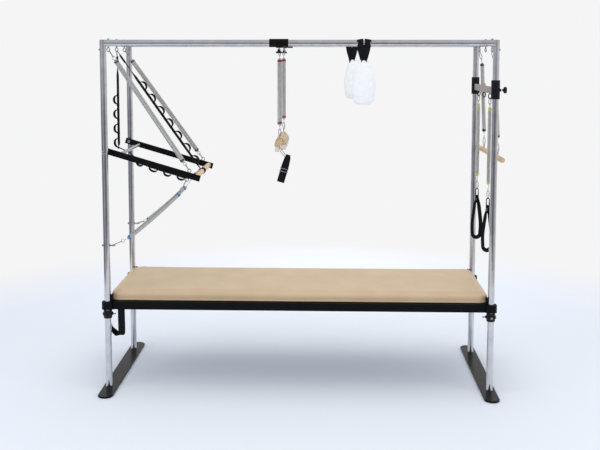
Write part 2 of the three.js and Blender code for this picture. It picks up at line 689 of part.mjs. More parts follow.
// Flat arms that turn on pins through the left posts, with a cross rod and a maple handle.
function addPushBar() {
  const half = pushBar.armHeight / 2;
  const endRadius = half;
  for (const [face, sy] of faces) {
    const outline = new THREE.Shape();
    outline.absarc(pushBar.tip - endRadius, 0, endRadius, -turnQuarter, turnQuarter);
    outline.absarc(-pushBar.tail + endRadius, 0, endRadius, turnQuarter, 3 * turnQuarter);
    const plate = new THREE.ExtrudeGeometry(outline, {
      depth: pushBar.armThickness, bevelEnabled: false, curveSegments: sides.bolt,
    });
    plate.translate(0, 0, -pushBar.armThickness / 2).rotateX(turnQuarter).rotateY(slope);
    plate.translate(-canopy.halfLength, sy * armSpread, pivotHeight);
    const outward = sideways.clone().multiplyScalar(sy);
    const pinStart = armPoint(0, 0, sy * armSpread);
    const postNear = canopy.halfWidth - tube.radius - gap.seat - armSpread;
    const postFar = canopy.halfWidth + tube.radius + gap.seat - armSpread;
    const headStart = pinStart.clone().addScaledVector(outward, postFar);
    addPiece(`push_bar_arm_${face}`, join([
      solidOf(plate),
      rodFrom(pinStart, outward, pushBar.bossRadius, postNear, sides.rod),
      rodFrom(pinStart, outward, pushBar.pinRadius, postFar + pushBar.headLength, sides.rod),
      rodFrom(headStart, outward, pushBar.headRadius, pushBar.headLength, sides.hex),
      eyeSolid(armEye(sy, 1).centre, pushBar.eyeRadius, pushBar.eyeWire),
      eyeSolid(armEye(sy, -1).centre, pushBar.eyeRadius, pushBar.eyeWire),
    ]), colours.black, 0.35);
  }
  const between = 2 * (armSpread - pushBar.armThickness / 2 - gap.seat);
  for (const [name, distance, radius, colour, roughness, metalness] of [
    ['push_bar_cross_rod', pushBar.rodAt, pushBar.rodRadius, colours.zinc, 0.35, 1],
    ['push_bar_handle', pushBar.handleAt, pushBar.handleRadius, colours.maple, 0.4, 0],
  ]) {
    const rod = rodFrom(armPoint(distance, 0, -between / 2), sideways, radius, between, sides.rod);
    addPiece(name, rod, colour, roughness, metalness);
  }
}

function canopyEye(sx, k) {
  return {
    centre: at(sx * canopy.halfLength, k * canopyEyeSpread, canopyEyeHeight),
    radius: eyebolt.eyeRadius, wire: eyebolt.wire,
  };
}

function addPushBarSprings() {
  for (const [face, sy] of faces) {
    const upper = `push_bar_upper_spring_${face}`;
    const lower = `push_bar_lower_spring_${face}`;
    const postEye = {
      centre: at(tube.radius + eyeDropToCentre - canopy.halfLength,
        sy * canopy.halfWidth, postEyeHeight),
      radius: eyebolt.eyeRadius, wire: eyebolt.wire,
    };
    addPiece(upper, springSolid(upper, upperSpring, canopyEye(-1, sy), armEye(sy, 1)),
      colours.zinc, 0.35, 1);
    addPiece(lower, springSolid(lower, lowerSpring, postEye, armEye(sy, -1)),
      colours.zinc, 0.35, 1);
  }
}

// A band that goes round the push bar's handle with a small gap.
function handleWrap(middleY) {
  const centre = armPoint(pushBar.handleAt, 0, 0);
  const radius = boreRadius(pushBar.handleRadius + webbing.thickness / 2, gap.turn, sides.eye);
  const points = arcPoints(centre.x, centre.z, radius, 0, 2 * Math.PI, sides.eye).slice(0, -1);
  return bandSolid(points, webbing.thickness, webbing.width, middleY, true);
}

const lerp2 = (a, b, share) => [a[0] + (b[0] - a[0]) * share, a[1] + (b[1] - a[1]) * share];

// Two daisy chain straps: one taut to the handle, one that hangs slack under the cross rod.
function addDaisyStraps() {
  const eye = canopyEye(-1, 0);
  const handle = armPoint(pushBar.handleAt, 0, 0);
  const wrapRadius = pushBar.handleRadius + gap.turn + webbing.thickness;
  const tautPull = handle.clone().sub(eye.centre).normalize();
  const tautTip = tipInEye(eye, tautPull, daisyHook.wire);
  const tautTop = tautTip.clone().addScaledVector(tautPull, daisyHook.length);
  const tautEnd = handle.clone().addScaledVector(tautPull, -wrapRadius);
  const line = [[tautTop.x, tautTop.z], [tautEnd.x, tautEnd.z]];
  const length = tautTop.distanceTo(tautEnd);
  const tab = lerp2(...line, webbing.loopLength / length);
  const pitchShare = (1 - tautLoops.firstShare) / tautLoops.count;
  const pieces = [
    bandSolid(line, webbing.thickness, webbing.width, -webbing.offset),
    bandSolid([line[0], tab], webbing.tabThickness, webbing.width, -webbing.offset),
    handleWrap(-webbing.offset),
    linkSolid(tautTip, tautTop.clone().addScaledVector(tautPull, webbing.thickness),
      daisyHook.halfWidth, daisyHook.wire, sideways),
  ];
  for (let k = 0; k < tautLoops.count; k++) {
    const start = tautLoops.firstShare + k * pitchShare;
    const end = start + webbing.loopLength / length;
    pieces.push(strapLoop(lerp2(...line, end), lerp2(...line, start), webbing.loopBulge,
      -webbing.offset));
  }
  addPiece('daisy_strap_taut', join(pieces), colours.web, 0.9);
  addSlackStrap(eye, handle, wrapRadius);
}

function addSlackStrap(eye, handle, wrapRadius) {
  const down = upward.clone().negate();
  const tip = tipInEye(eye, down, daisyHook.wire);
  const top = tip.clone().addScaledVector(down, daisyHook.length);
  const rod = armPoint(pushBar.rodAt, 0, 0);
  const under = pushBar.rodRadius + gap.turn + webbing.thickness;
  const leave = [rod.x + under, rod.z - under - slackStrap.passUnder];
  const reach = [handle.x - slackStrap.handleReach, handle.z - wrapRadius + webbing.thickness];
  const sagging = slackStrap.sagShares.map((share, k) => {
    const [x, z] = lerp2(leave, reach, share);
    return [x, z - slackStrap.sagDrops[k]];
  });
  const line = [
    [top.x, top.z], [top.x, pivotHeight - slackStrap.bendDrop], [rod.x - under, leave[1]], leave, ...sagging,
    reach, [handle.x, handle.z - wrapRadius + webbing.thickness / 2],
  ];
  const pieces = [
    bandSolid(line, webbing.thickness, webbing.width, webbing.offset),
    handleWrap(webbing.offset),
    linkSolid(tip, top.clone().addScaledVector(down, webbing.thickness),
      daisyHook.halfWidth, daisyHook.wire, sideways),
  ];
  const drop = top.z - pivotHeight + slackStrap.bendDrop;
  for (let k = 0; k < slackLoops.count; k++) {
    const start = [top.x, top.z - drop * (slackLoops.firstShare + slackLoops.pitchShare * k)];
    pieces.push(strapLoop([start[0], start[1] - webbing.loopLength], start,
      -webbing.loopBulge, webbing.offset));
  }
  const [loopStart, loopEnd] = slackLoops.sagShares;
  for (let k = 1; k < sagging.length; k++) {
    const [from, to] = [sagging[k - 1], sagging[k]];
    pieces.push(strapLoop(lerp2(from, to, loopStart), lerp2(from, to, loopEnd),
      webbing.loopBulge, webbing.offset));
  }
  addPiece('daisy_strap_slack', join(pieces), colours.web, 0.9);
}

// A locking knob about its own axis: steel shank, stem and a rounded brim.
function knobShape(shankLength, stemLength, brimRadius, brimLength) {
  const stemStart = shankLength;
  const brimStart = stemStart + stemLength;
  const top = brimStart + brimLength;
  return turned([
    [0, 0], [knob.shankRadius, 0], [knob.shankRadius, stemStart], [knob.stemRadius, stemStart],
    [knob.stemRadius, brimStart], [brimRadius - knob.edge, brimStart],
    [brimRadius, brimStart + knob.edge], [brimRadius, top - knob.edge],
    [brimRadius - knob.edge, top], [0, top],
  ], sides.rod);
}

const trolleyEyeHeight = canopy.railHeight - trolley.barRadius - trolley.eyeDrop
  - eyebolt.eyeRadius;

// The trolley: sleeves on both top rails, a cross tube and two eyes; a knob under each sleeve.
function addTrolley() {
  const bossLow = canopy.railHeight - trolley.radius - trolley.bossHeight;
  const bar = canopy.halfWidth - tube.radius - gap.slide;
  const sleeves = faces.map(([, sy]) => rodFrom(
    at(trolley.place - trolley.sleeveLength / 2, sy * canopy.halfWidth, canopy.railHeight),
    lengthways, trolley.radius, trolley.sleeveLength, sides.tube));
  const bosses = faces.map(([, sy]) => rodFrom(
    at(trolley.place, sy * canopy.halfWidth, bossLow), upward,
    trolley.bossRadius, trolley.bossHeight + tube.wall, sides.rod));
  const bores = faces.map(([, sy]) => rodFrom(
    at(trolley.place - trolley.sleeveLength, sy * canopy.halfWidth, canopy.railHeight),
    lengthways, tube.radius + gap.slide, 2 * trolley.sleeveLength, sides.tube));
  const crossBar = rodFrom(at(trolley.place, -bar, canopy.railHeight), sideways,
    trolley.barRadius, 2 * bar, sides.rod);
  const eyes = faces.map(([, sy]) =>
    eyeSolid(trolleyEye(sy).centre, eyebolt.eyeRadius, eyebolt.wire));
  addPiece('trolley', cut(join([...sleeves, ...bosses, crossBar, ...eyes]), bores),
    colours.black, 0.4);
  for (const [face, sy] of faces) {
    const shape = knobShape(knob.shankLength, knob.stemLength, knob.brimRadius, knob.brimLength);
    const start = at(trolley.place, sy * canopy.halfWidth, bossLow - gap.seat);
    addPiece(`trolley_knob_${face}`,
      solidOf(aimed(shape, start, upward.clone().negate())), colours.black, 0.35);
  }
}

function trolleyEye(sy) {
  return {
    centre: at(trolley.place, sy * trapezeSpread, trolleyEyeHeight),
    radius: eyebolt.eyeRadius, wire: eyebolt.wire,
  };
}

function trapezeBarEye(sy, side) {
  return {
    centre: at(trolley.place, sy * trapezeSpread,
      trapezeHeight + side * (trapeze.barRadius + trapeze.eyeRadius)),
    radius: trapeze.eyeRadius, wire: trapeze.eyeWire,
  };
}

// The trapeze: two springs, a maple bar with its eyes, a sling over it and a foot strap.
function addTrapeze() {
  for (const [face, sy] of faces) {
    const name = `trapeze_spring_${face}`;
    addPiece(name, springSolid(name, trapezeSpring, trolleyEye(sy), trapezeBarEye(sy, 1)),
      colours.zinc, 0.35, 1);
  }
  const bar = rodFrom(at(trolley.place, -trapeze.barLength / 2, trapezeHeight), sideways,
    trapeze.barRadius, trapeze.barLength, sides.rod);
  const eyes = [trapezeBarEye(-1, 1), trapezeBarEye(1, 1), trapezeBarEye(-1, -1)];
  addPiece('trapeze_bar', join([bar, ...eyes.map((eye) =>
    eyeSolid(eye.centre, eye.radius, eye.wire))]), colours.maple, 0.4);
  const [crownFrom, crownTo] = sling.crownShares.map((share) => Math.PI * share);
  const crownSides = 2 * Math.PI * steps.bend / (crownFrom - crownTo);
  const inner = boreRadius(trapeze.barRadius, gap.turn, crownSides) + sling.thickness / 2;
  const top = trapezeHeight + inner;
  const hem = top - sling.height;
  const half = sling.width / 2;
  const waist = sling.waistWidth / 2;
  const drape = [
    [trolley.place - half, hem], [trolley.place - waist, trapezeHeight],
    ...arcPoints(trolley.place, trapezeHeight, inner, crownFrom, crownTo, steps.bend),
    [trolley.place + waist, trapezeHeight], [trolley.place + half, hem],
  ];
  addPiece('trapeze_sling', bandSolid(drape, sling.thickness, sling.length, 0),
    colours.sling, 0.9);
  addFootStrap();
}

function addFootStrap() {
  const eye = trapezeBarEye(-1, -1);
  const tip = tipInEye(eye, at(0, 0, -1), footStrap.wire);
  const half = footStrap.loopWidth / 2;
  const strapTop = trapezeHeight - footStrap.drop;
  const strapBottom = strapTop - footStrap.loopLength;
  const topX = trolley.place + footStrap.lean / 2;
  const lowX = trolley.place - footStrap.lean / 2;
  const loop = [
    ...arcPoints(lowX, strapBottom + half, half, -Math.PI, 0, steps.bend),
    ...arcPoints(topX, strapTop - half / 2, half / 2, 0, Math.PI, steps.neck),
  ];
  const strap = bandSolid(loop, footStrap.bandThickness, footStrap.bandWidth,
    -trapezeSpread, true);
  const end = at(topX, -trapezeSpread, strapTop);
  addPiece('trapeze_foot_strap', join([
    strap, linkSolid(tip, end, footStrap.wireHalfWidth, footStrap.wire, sideways),
  ]), colours.web, 0.8);
}

const slideBarX = canopy.halfLength - endSlide.barSetIn;
const slideBarBottom = slideLow + endSlide.barRise;
const slideEyeHeight = slideBarBottom - endSlide.eyeRadius - endSlide.eyeWire / 2;

function slideEye(k) {
  return {
    centre: at(slideBarX, k * slideEyeSpread, slideEyeHeight),
    radius: endSlide.eyeRadius, wire: endSlide.eyeWire,
  };
}

// The height adjustable end bar on the right posts, with its eyes and pull knobs.
function addEndSlide() {
  const height = endSlide.sleeveHeight;
  const bossReach = endSlide.radius + endSlide.bossLength;
  const sleeves = faces.map(([, sy]) => rodFrom(
    at(canopy.halfLength, sy * canopy.halfWidth, slideLow), upward,
    endSlide.radius, height, sides.tube));
  const bosses = faces.map(([, sy]) => rodFrom(
    at(canopy.halfLength, sy * canopy.halfWidth, endKnobHeight), lengthways,
    endSlide.bossRadius, bossReach, sides.rod));
  const bores = faces.map(([, sy]) => rodFrom(
    at(canopy.halfLength, sy * canopy.halfWidth, slideLow - overrun), upward,
    tube.radius + gap.slide, height + 2 * overrun, sides.tube));
  const bar = boxSolid(endSlide.barThickness, 2 * canopy.halfWidth, endSlide.barHeight,
    at(slideBarX, 0, slideBarBottom + endSlide.barHeight / 2));
  const eyes = [-1, 0, 1].map((k) =>
    eyeSolid(slideEye(k).centre, endSlide.eyeRadius, endSlide.eyeWire));
  addPiece('end_slide', cut(join([...sleeves, ...bosses, bar, ...eyes]), bores),
    colours.black, 0.4);
  for (const [face, sy] of faces) {
    const shape = knobShape(endKnob.shank, endKnob.stemLength, endKnob.brimRadius,
      endKnob.brimLength);
    const start = at(canopy.halfLength + bossReach + gap.seat, sy * canopy.halfWidth,
      endKnobHeight);
    addPiece(`end_slide_knob_${face}`, solidOf(aimed(shape, start, lengthways)),
      colours.black, 0.35);
  }
}

// Leg springs with a long webbing loop below each, narrowed where the hook takes it.
function addLegSprings() {
  const insideHook = 2 * (hook.halfWidth - hook.wire - gap.chain);
  for (const [face, sy] of faces) {
    const top = slideEye(sy);
    const low = {
      centre: at(top.centre.x, top.centre.y, bedTop + legLoop.eyeRise),
      radius: legLoop.gather, wire: 0,
    };
    const name = `leg_spring_${face}`;
    addPiece(name, springSolid(name, legSpring, top, low), colours.zinc, 0.35, 1);
    const crown = tipInEye(low, upward, hook.wire).z + hook.halfWidth + legLoop.thickness / 2;
    const bottom = crown - legLoop.length;
    const round = arcPoints(slideBarX, bottom + legLoop.halfWidth, legLoop.halfWidth,
      -Math.PI, 0, steps.bend);
    const neck = arcPoints(slideBarX, crown - legLoop.gather, legLoop.gather, 0, Math.PI,
      steps.neck);
    const sewn = crown - legLoop.gather - legLoop.sewn;
    const wide = [[slideBarX - legLoop.gather, sewn], ...round, [slideBarX + legLoop.gather, sewn]];
    addPiece(`leg_loop_${face}`, join([
      bandSolid([...round, wide[wide.length - 1], ...neck, wide[0]], legLoop.thickness,
        insideHook, top.centre.y, true),
      bandSolid(wide, legLoop.thickness, legLoop.width, top.centre.y),
    ]), colours.web, 0.9);
  }
}

// The roll down bar on two springs that lean out past the end bar.
function addRollDown() {
  const reach = { front: rollDown.frontReach, rear: rollDown.rearReach };
  const barEyeHeight = rollDownHeight + rollDown.barRadius + rollDown.eyeRadius;
  const eyes = faces.map(([face, sy]) => ({
    centre: at(canopy.halfLength + reach[face], sy * canopyEyeSpread, barEyeHeight),
    radius: rollDown.eyeRadius, wire: rollDown.eyeWire,
  }));
  faces.forEach(([face, sy], k) => {
    const name = `roll_down_spring_${face}`;
    addPiece(name, springSolid(name, rollDownSpring, canopyEye(1, sy), eyes[k]),
      colours.zinc, 0.35, 1);
  });
  const direction = eyes[1].centre.clone().sub(eyes[0].centre).normalize();
  const middle = eyes[0].centre.clone().add(eyes[1].centre).multiplyScalar(0.5);
  const start = at(middle.x, middle.y, rollDownHeight)
    .addScaledVector(direction, -rollDown.barLength / 2);
  const bar = rodFrom(start, direction, rollDown.barRadius, rollDown.barLength, sides.rod);
  addPiece('roll_down_bar', join([bar, ...eyes.map((eye) =>
    eyeSolid(eye.centre, eye.radius, eye.wire))]), colours.maple, 0.4);
}

// A fleece cuff slung over a top rail on a webbing band that can swing about the rail.
function addCuffs() {
  const places = { front: cuff.frontPlace, rear: cuff.rearPlace };
  const [wrapFrom, wrapTo] = cuff.wrapShares.map((share) => Math.PI * share);
  const wrapSides = 2 * Math.PI * steps.wrap / (wrapFrom - wrapTo);
  const inner = boreRadius(tube.radius, gap.turn, wrapSides) + cuff.bandThickness / 2;
  for (const [face, sy] of faces) {
    const y = sy * canopy.halfWidth;
    const line = [
      [-cuff.tabHalf, canopy.railHeight - cuff.bandDrop],
      ...arcPoints(0, canopy.railHeight, inner, wrapFrom, wrapTo, steps.wrap),
      [cuff.tabHalf, canopy.railHeight - cuff.bandDrop],
    ];
    const band = geometryOf(bandSolid(line, cuff.bandThickness, cuff.bandWidth, 0))
      .rotateZ(turnQuarter).translate(places[face], y, 0);
    const top = canopy.railHeight - cuff.bandDrop + cuff.fleeceOverlap;
    const fleece = solidOf(fleeceShape().translate(places[face], y, top - cuff.fleeceHeight));
    addPiece(`fleece_cuff_${face}`, join([solidOf(band), fleece]), colours.wool, 1);
  }
}

// A soft folded sleeve: swollen in the middle and drawn in at its top and bottom.
function fleeceShape() {
  const levelShares = [0, 0.06, 0.3, 0.6, 0.85, 1];
  const widthShares = [0.55, 0.82, 1, 0.9, 0.62, 0.34];
  const depthShares = [0.5, 0.8, 1, 0.95, 0.7, 0.4];
  const positions = [];
  const index = [];
  const count = sides.rod;
  levelShares.forEach((level, row) => {
    for (let k = 0; k < count; k++) {
      const angle = 2 * Math.PI * k / count;
      positions.push(
        Math.cos(angle) * widthShares[row] * cuff.fleeceWidth / 2,
        Math.sin(angle) * depthShares[row] * cuff.fleeceDepth / 2,
        level * cuff.fleeceHeight);
      if (row === levelShares.length - 1) continue;
      const a = row * count + k;
      const b = row * count + (k + 1) % count;
      index.push(a, b, b + count, a, b + count, a + count);
    }
  });
  const last = (levelShares.length - 1) * count;
  for (let k = 1; k < count - 1; k++) index.push(0, k + 1, k, last, last + k, last + k + 1);
  const geometry = new THREE.BufferGeometry();
  geometry.setAttribute('position', new THREE.Float32BufferAttribute(positions, 3));
  geometry.setIndex(index);
  return geometry;
}

addFootPlates();
addPosts();
addCanopy();
addEyebolts();
addBed();
addCollars();
addBedStrap();
addPushBar();
addPushBarSprings();
addDaisyStraps();
addTrolley();
addTrapeze();
addEndSlide();
addLegSprings();
addRollDown();
addCuffs();

export default table;
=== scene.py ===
"""Dresses a pilates trapeze table for a photograph of it in a pale studio.

A canopy of polished steel tube stands over a padded bed. A sprung push bar with two
daisy chain straps hangs at the left, a trapeze on a trolley and two fleece cuffs in the
middle, and leg springs and a roll down bar at the right.
"""

import bpy
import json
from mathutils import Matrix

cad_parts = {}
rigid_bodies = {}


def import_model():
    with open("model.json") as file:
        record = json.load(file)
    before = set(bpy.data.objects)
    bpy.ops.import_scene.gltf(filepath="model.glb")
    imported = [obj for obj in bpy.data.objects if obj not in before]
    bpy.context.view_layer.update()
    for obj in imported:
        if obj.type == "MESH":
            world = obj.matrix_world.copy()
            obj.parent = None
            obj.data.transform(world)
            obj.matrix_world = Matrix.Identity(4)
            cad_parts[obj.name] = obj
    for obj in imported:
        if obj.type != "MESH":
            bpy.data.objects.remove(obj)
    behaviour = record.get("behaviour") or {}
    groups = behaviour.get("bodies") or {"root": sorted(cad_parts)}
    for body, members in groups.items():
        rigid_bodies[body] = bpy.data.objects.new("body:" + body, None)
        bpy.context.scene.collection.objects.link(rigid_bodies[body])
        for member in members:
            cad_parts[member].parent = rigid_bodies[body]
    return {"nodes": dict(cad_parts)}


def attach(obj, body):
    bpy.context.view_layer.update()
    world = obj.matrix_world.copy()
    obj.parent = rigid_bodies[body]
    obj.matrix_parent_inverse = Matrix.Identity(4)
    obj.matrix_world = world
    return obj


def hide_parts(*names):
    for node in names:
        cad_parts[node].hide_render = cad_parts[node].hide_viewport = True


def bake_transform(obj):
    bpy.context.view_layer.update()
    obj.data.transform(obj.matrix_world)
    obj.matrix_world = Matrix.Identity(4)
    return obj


for leftover in list(bpy.data.objects):
    bpy.data.objects.remove(leftover)

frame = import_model()

import json
import logging
import math
from dataclasses import dataclass, replace
from enum import Enum
from typing import ClassVar, Sequence

import bmesh
from mathutils import Matrix, Vector, noise

LOG = logging.getLogger("trapeze_table")
X = Vector((1, 0, 0))
Y = Vector((0, 1, 0))
Z = Vector((0, 0, 1))
ENDS = (("left", -1), ("right", 1))
FACES = (("front", -1), ("rear", 1))


def mm(value: float) -> float:
    """Turns millimetres to metres."""
    return value / 1000


def linear(hex_colour: str) -> tuple[float, float, float, float]:
    """Turns an sRGB hex colour to linear light.

    Args:
        hex_colour: The colour as six hex digits, with or without the hash sign.

    Returns:
        Red, green, blue and an alpha of 1.
    """
    digits = hex_colour.lstrip("#")
    shares = [int(digits[i:i + 2], 16) / 255 for i in (0, 2, 4)]
    straight = [s / 12.92 if s <= 0.04045 else ((s + 0.055) / 1.055) ** 2.4 for s in shares]
    return (straight[0], straight[1], straight[2], 1.0)


def add_node(
    tree: bpy.types.NodeTree,
    kind: str,
    settings: dict | None = None,
    links: dict | None = None,
) -> bpy.types.Node:
    """Adds a node with its settings and links.

    Args:
        tree: The node tree that gets it.
        kind: The node's type name.
        settings: Socket names or numbers with their values, or names of the node's own fields.
        links: Socket names or numbers with the output socket that feeds each.

    Returns:
        The new node.
    """
    node = tree.nodes.new(kind)
    for key, value in (settings or {}).items():
        if isinstance(key, int) or key in node.inputs:
            node.inputs[key].default_value = value
        else:
            setattr(node, key, value)
    for key, source in (links or {}).items():
        tree.links.new(source, node.inputs[key])
    return node


def ramp(
    tree: bpy.types.NodeTree,
    source: bpy.types.NodeSocket,
    stops: Sequence[tuple[float, str]],
) -> bpy.types.NodeSocket:
    """Maps a value to colours between stops.

    Args:
        tree: The node tree.
        source: The value from 0 to 1.
        stops: Places along the ramp, each with its sRGB hex colour.

    Returns:
        The colour socket.
    """
    node = add_node(tree, "ShaderNodeValToRGB", links={"Fac": source})
    elements = node.color_ramp.elements
    for index, (place, colour) in enumerate(stops):
        element = elements[index] if index < 2 else elements.new(place)
        element.position = place
        element.color = linear(colour)
    return node.outputs["Color"]


def new_material(name: str) -> tuple[bpy.types.Material, bpy.types.NodeTree]:
    """Returns a new material with its tree, emptied."""
    material = bpy.data.materials.new(name)
    material.use_nodes = True
    material.node_tree.nodes.clear()
    return material, material.node_tree


def add_object(name: str, data: bpy.types.ID) -> bpy.types.Object:
    """Adds an object to the scene."""
    thing = bpy.data.objects.new(name, data)
    bpy.context.scene.collection.objects.link(thing)
    return thing


class Weave(Enum):
    """How the threads of a cloth cross."""

    PLAIN = 0.0
    TWILL = 0.7854


@dataclass(frozen=True)
class Surface:
    """What a finish draws on: a material's tree, its shader and the point in the object."""

    tree: bpy.types.NodeTree
    shader: bpy.types.Node
    place: bpy.types.NodeSocket

    def node(self, kind: str, settings: dict, links: dict | None = None) -> bpy.types.Node:
        """Adds a node, which reads the point in the object unless it is given links."""
        return add_node(self.tree, kind, settings, links or {"Vector": self.place})

    def cloud(self, size: float, detail: float) -> bpy.types.NodeSocket:
        """Returns noise in patches of a size in millimetres."""
        return self.node("ShaderNodeTexNoise", {
            "Scale": 1 / mm(size), "Detail": detail}).outputs["Fac"]

    def join(self, rough: float, base: bpy.types.NodeSocket,
             fine: bpy.types.NodeSocket) -> bpy.types.NodeSocket:
        """Returns a pattern multiplied by a number, with a second pattern added."""
        return self.node("ShaderNodeMath", {"operation": "MULTIPLY_ADD", 1: rough},
                         {0: base, 2: fine}).outputs[0]

    def tint(self, source: bpy.types.NodeSocket, *stops: tuple[float, str]) -> None:
        """Colours the surface by a value, between stops."""
        self.tree.links.new(ramp(self.tree, source, stops), self.shader.inputs["Base Color"])

    def mottle(self, roughness: float, size: float, spread: float) -> None:
        """Lets the roughness wander by a spread over patches of a size in millimetres."""
        share = self.node("ShaderNodeMapRange", {
            "To Min": max(roughness - spread, 0.02), "To Max": roughness + spread,
        }, {"Value": self.cloud(size, 3.0)})
        self.tree.links.new(share.outputs["Result"], self.shader.inputs["Roughness"])

    def bump(self, height: bpy.types.NodeSocket, depth: float, strength: float) -> None:
        """Raises the surface by a height pattern, with its depth in millimetres."""
        node = self.node("ShaderNodeBump", {"Strength": strength, "Distance": mm(depth)},
                         {"Height": height})
        self.tree.links.new(node.outputs["Normal"], self.shader.inputs["Normal"])


@dataclass(frozen=True)
class Finish:
    """A surface finish: its name, colour and the shader's plain values."""

    name: str
    colour: str
    roughness: float = 0.5
    metallic: float = 0.0
    coat: float = 0.0
    sheen: float = 0.0
    specular: float = 0.5

    def material(self) -> bpy.types.Material:
        """Returns the material, made once and then shared."""
        known = bpy.data.materials.get(self.name)
        if known:
            return known
        material, tree = new_material(self.name)
        shader = add_node(tree, "ShaderNodeBsdfPrincipled", {
            "Base Color": linear(self.colour), "Roughness": self.roughness,
            "Metallic": self.metallic, "Coat Weight": self.coat, "Sheen Weight": self.sheen,
            "Specular IOR Level": self.specular,
        })
        add_node(tree, "ShaderNodeOutputMaterial", links={"Surface": shader.outputs["BSDF"]})
        place = add_node(tree, "ShaderNodeTexCoord").outputs["Object"]
        self.detail(Surface(tree, shader, place))
        material.diffuse_color = linear(self.colour)
        return material

    def detail(self, on: Surface) -> None:
        """Adds what varies over the surface; a plain finish gets a faint mottle."""
        on.mottle(self.roughness, 30, 0.05)


@dataclass(frozen=True)
class PolishedTube(Finish):
    """Polished chromed steel tube: bright, with faint drawing lines and hand marks."""

    dark: str = "#c3c4c9"
    light: str = "#d6d7da"

    def detail(self, on: Surface) -> None:
        """Adds a soft mottle of roughness and tone along the tube."""
        on.mottle(self.roughness, 24, 0.03)
        cloud = on.cloud(60, 2.0)
        on.tint(cloud, (0.3, self.dark), (0.7, self.light))
        on.bump(cloud, 0.1, 0.12)


@dataclass(frozen=True)
class PlatedWire(Finish):
    """Zinc plated spring wire: satin grey with a slightly dull, uneven plating."""

    dull: str = "#a3a3a2"

    def detail(self, on: Surface) -> None:
        """Adds patches of plating, a few centimetres across, drawn as coarse as they show."""
        on.tint(on.cloud(14, 5.0), (0.3, self.dull), (0.72, self.colour))
        on.mottle(self.roughness, 9, 0.08)


@dataclass(frozen=True)
class PowderCoat(Finish):
    """Black powder coat: a fine orange peel whose high spots catch the light."""

    grain: float = 1.6
    rubbed: str = "#121317"

    def detail(self, on: Surface) -> None:
        """Adds the orange peel and slightly rubbed, paler patches."""
        on.bump(on.cloud(self.grain, 2.0), 0.12, 0.5)
        on.tint(on.cloud(60, 4.0), (0.35, self.colour), (0.85, self.rubbed))
        on.mottle(self.roughness, 35, 0.06)


@dataclass(frozen=True)
class CoatedFabric(Finish):
    """Vinyl coated upholstery: a fine pebbled grain over a soft, even sheen."""

    pebble: float = 1.8
    dark: str = "#cbaf8a"
    light: str = "#d4b893"

    def detail(self, on: Surface) -> None:
        """Adds the pebble grain, faint wrinkles and a warm drift of colour."""
        pebbles = on.node("ShaderNodeTexVoronoi", {"Scale": 1 / mm(self.pebble)})
        wrinkle = on.cloud(140, 3.0)
        on.bump(on.join(6.0, wrinkle, pebbles.outputs["Distance"]), 0.25, 0.35)
        on.tint(wrinkle, (0.3, self.dark), (0.72, self.light))


@dataclass(frozen=True)
class WovenCloth(Finish):
    """Woven nylon webbing or cotton canvas: threads a set distance apart."""

    thread: float = 1.6
    weave: Weave = Weave.PLAIN
    light: str = "#2a2b2f"

    def detail(self, on: Surface) -> None:
        """Adds warp and weft, drawn coarser than the real threads so that they show."""
        turn = self.weave.value
        turned = on.node("ShaderNodeMapping", {"Rotation": (turn, turn / 2, turn)})
        bands = [on.node("ShaderNodeTexWave", {
            "bands_direction": way, "Scale": 2 / (mm(self.thread) * 6.2832), "Distortion": 0.4,
        }, {"Vector": turned.outputs["Vector"]}).outputs["Fac"] for way in "XYZ"]
        first = on.node("ShaderNodeMath", {"operation": "MULTIPLY"}, {0: bands[0], 1: bands[1]})
        both = on.node("ShaderNodeMath", {"operation": "MAXIMUM"},
                       {0: first.outputs[0], 1: bands[2]})
        on.bump(both.outputs[0], 0.5, 0.6)
        on.tint(both.outputs[0], (0.0, self.colour), (1.0, self.light))


@dataclass(frozen=True)
class Timber(Finish):
    """Wood with fine straight grain: varnished maple dowels and the stained deck board."""

    grain: float = 5.0
    dark: str = "#b98f5e"
    light: str = "#e3c598"

    def detail(self, on: Surface) -> None:
        """Adds growth lines stretched along Y, the way that every dowel here lies."""
        stretched = on.node("ShaderNodeMapping", {"Scale": (1.0, 0.06, 1.0)})
        lines = on.node("ShaderNodeTexNoise", {
            "Scale": 1 / mm(self.grain), "Detail": 6.0, "Roughness": 0.6,
        }, {"Vector": stretched.outputs["Vector"]}).outputs["Fac"]
        on.tint(lines, (0.3, self.dark), (0.7, self.light), (0.5, self.colour))
        on.bump(lines, 0.2, 0.3)


@dataclass(frozen=True)
class WoolPile(Finish):
    """Sheepskin fleece: curled tufts with a soft bright edge."""

    tuft: float = 7.0
    crest: str = "#fdfdfd"
    hollow: str = "#f3f3f2"

    def detail(self, on: Surface) -> None:
        """Adds tufts and finer curls as bumps, with faintly warmer hollows."""
        tufts = on.node("ShaderNodeTexVoronoi", {"Scale": 1 / mm(self.tuft)}).outputs["Distance"]
        on.bump(on.join(0.5, on.cloud(2.2, 4.0), tufts), 3, 0.7)
        on.tint(tufts, (0.0, self.crest), (1.0, self.hollow))


# Polished tube gives long bright streaks with darker edges.
STEEL_TUBE = PolishedTube("chromed_steel_tube", "#cccdd1", 0.13, 1.0)
# Plated wire and fittings look duller than the tube.
SPRING_WIRE = PlatedWire("zinc_plated_spring_wire", "#e0dfdb", 0.42, 1.0, dull="#d0cfcb")
FITTING = PlatedWire("zinc_plated_steel_fitting", "#c4c5c6", 0.28, 1.0, dull="#97989a")
# Satin and gloss powder coats differ in how sharply the lamps show.
SATIN_COAT = PowderCoat("satin_black_powder_coat", "#060608", 0.5, specular=0.12, rubbed="#0c0d10")
GLOSS_COAT = PowderCoat("gloss_charcoal_powder_coat", "#131415", 0.27, coat=0.04,
                        specular=0.1, rubbed="#1b1c1d")
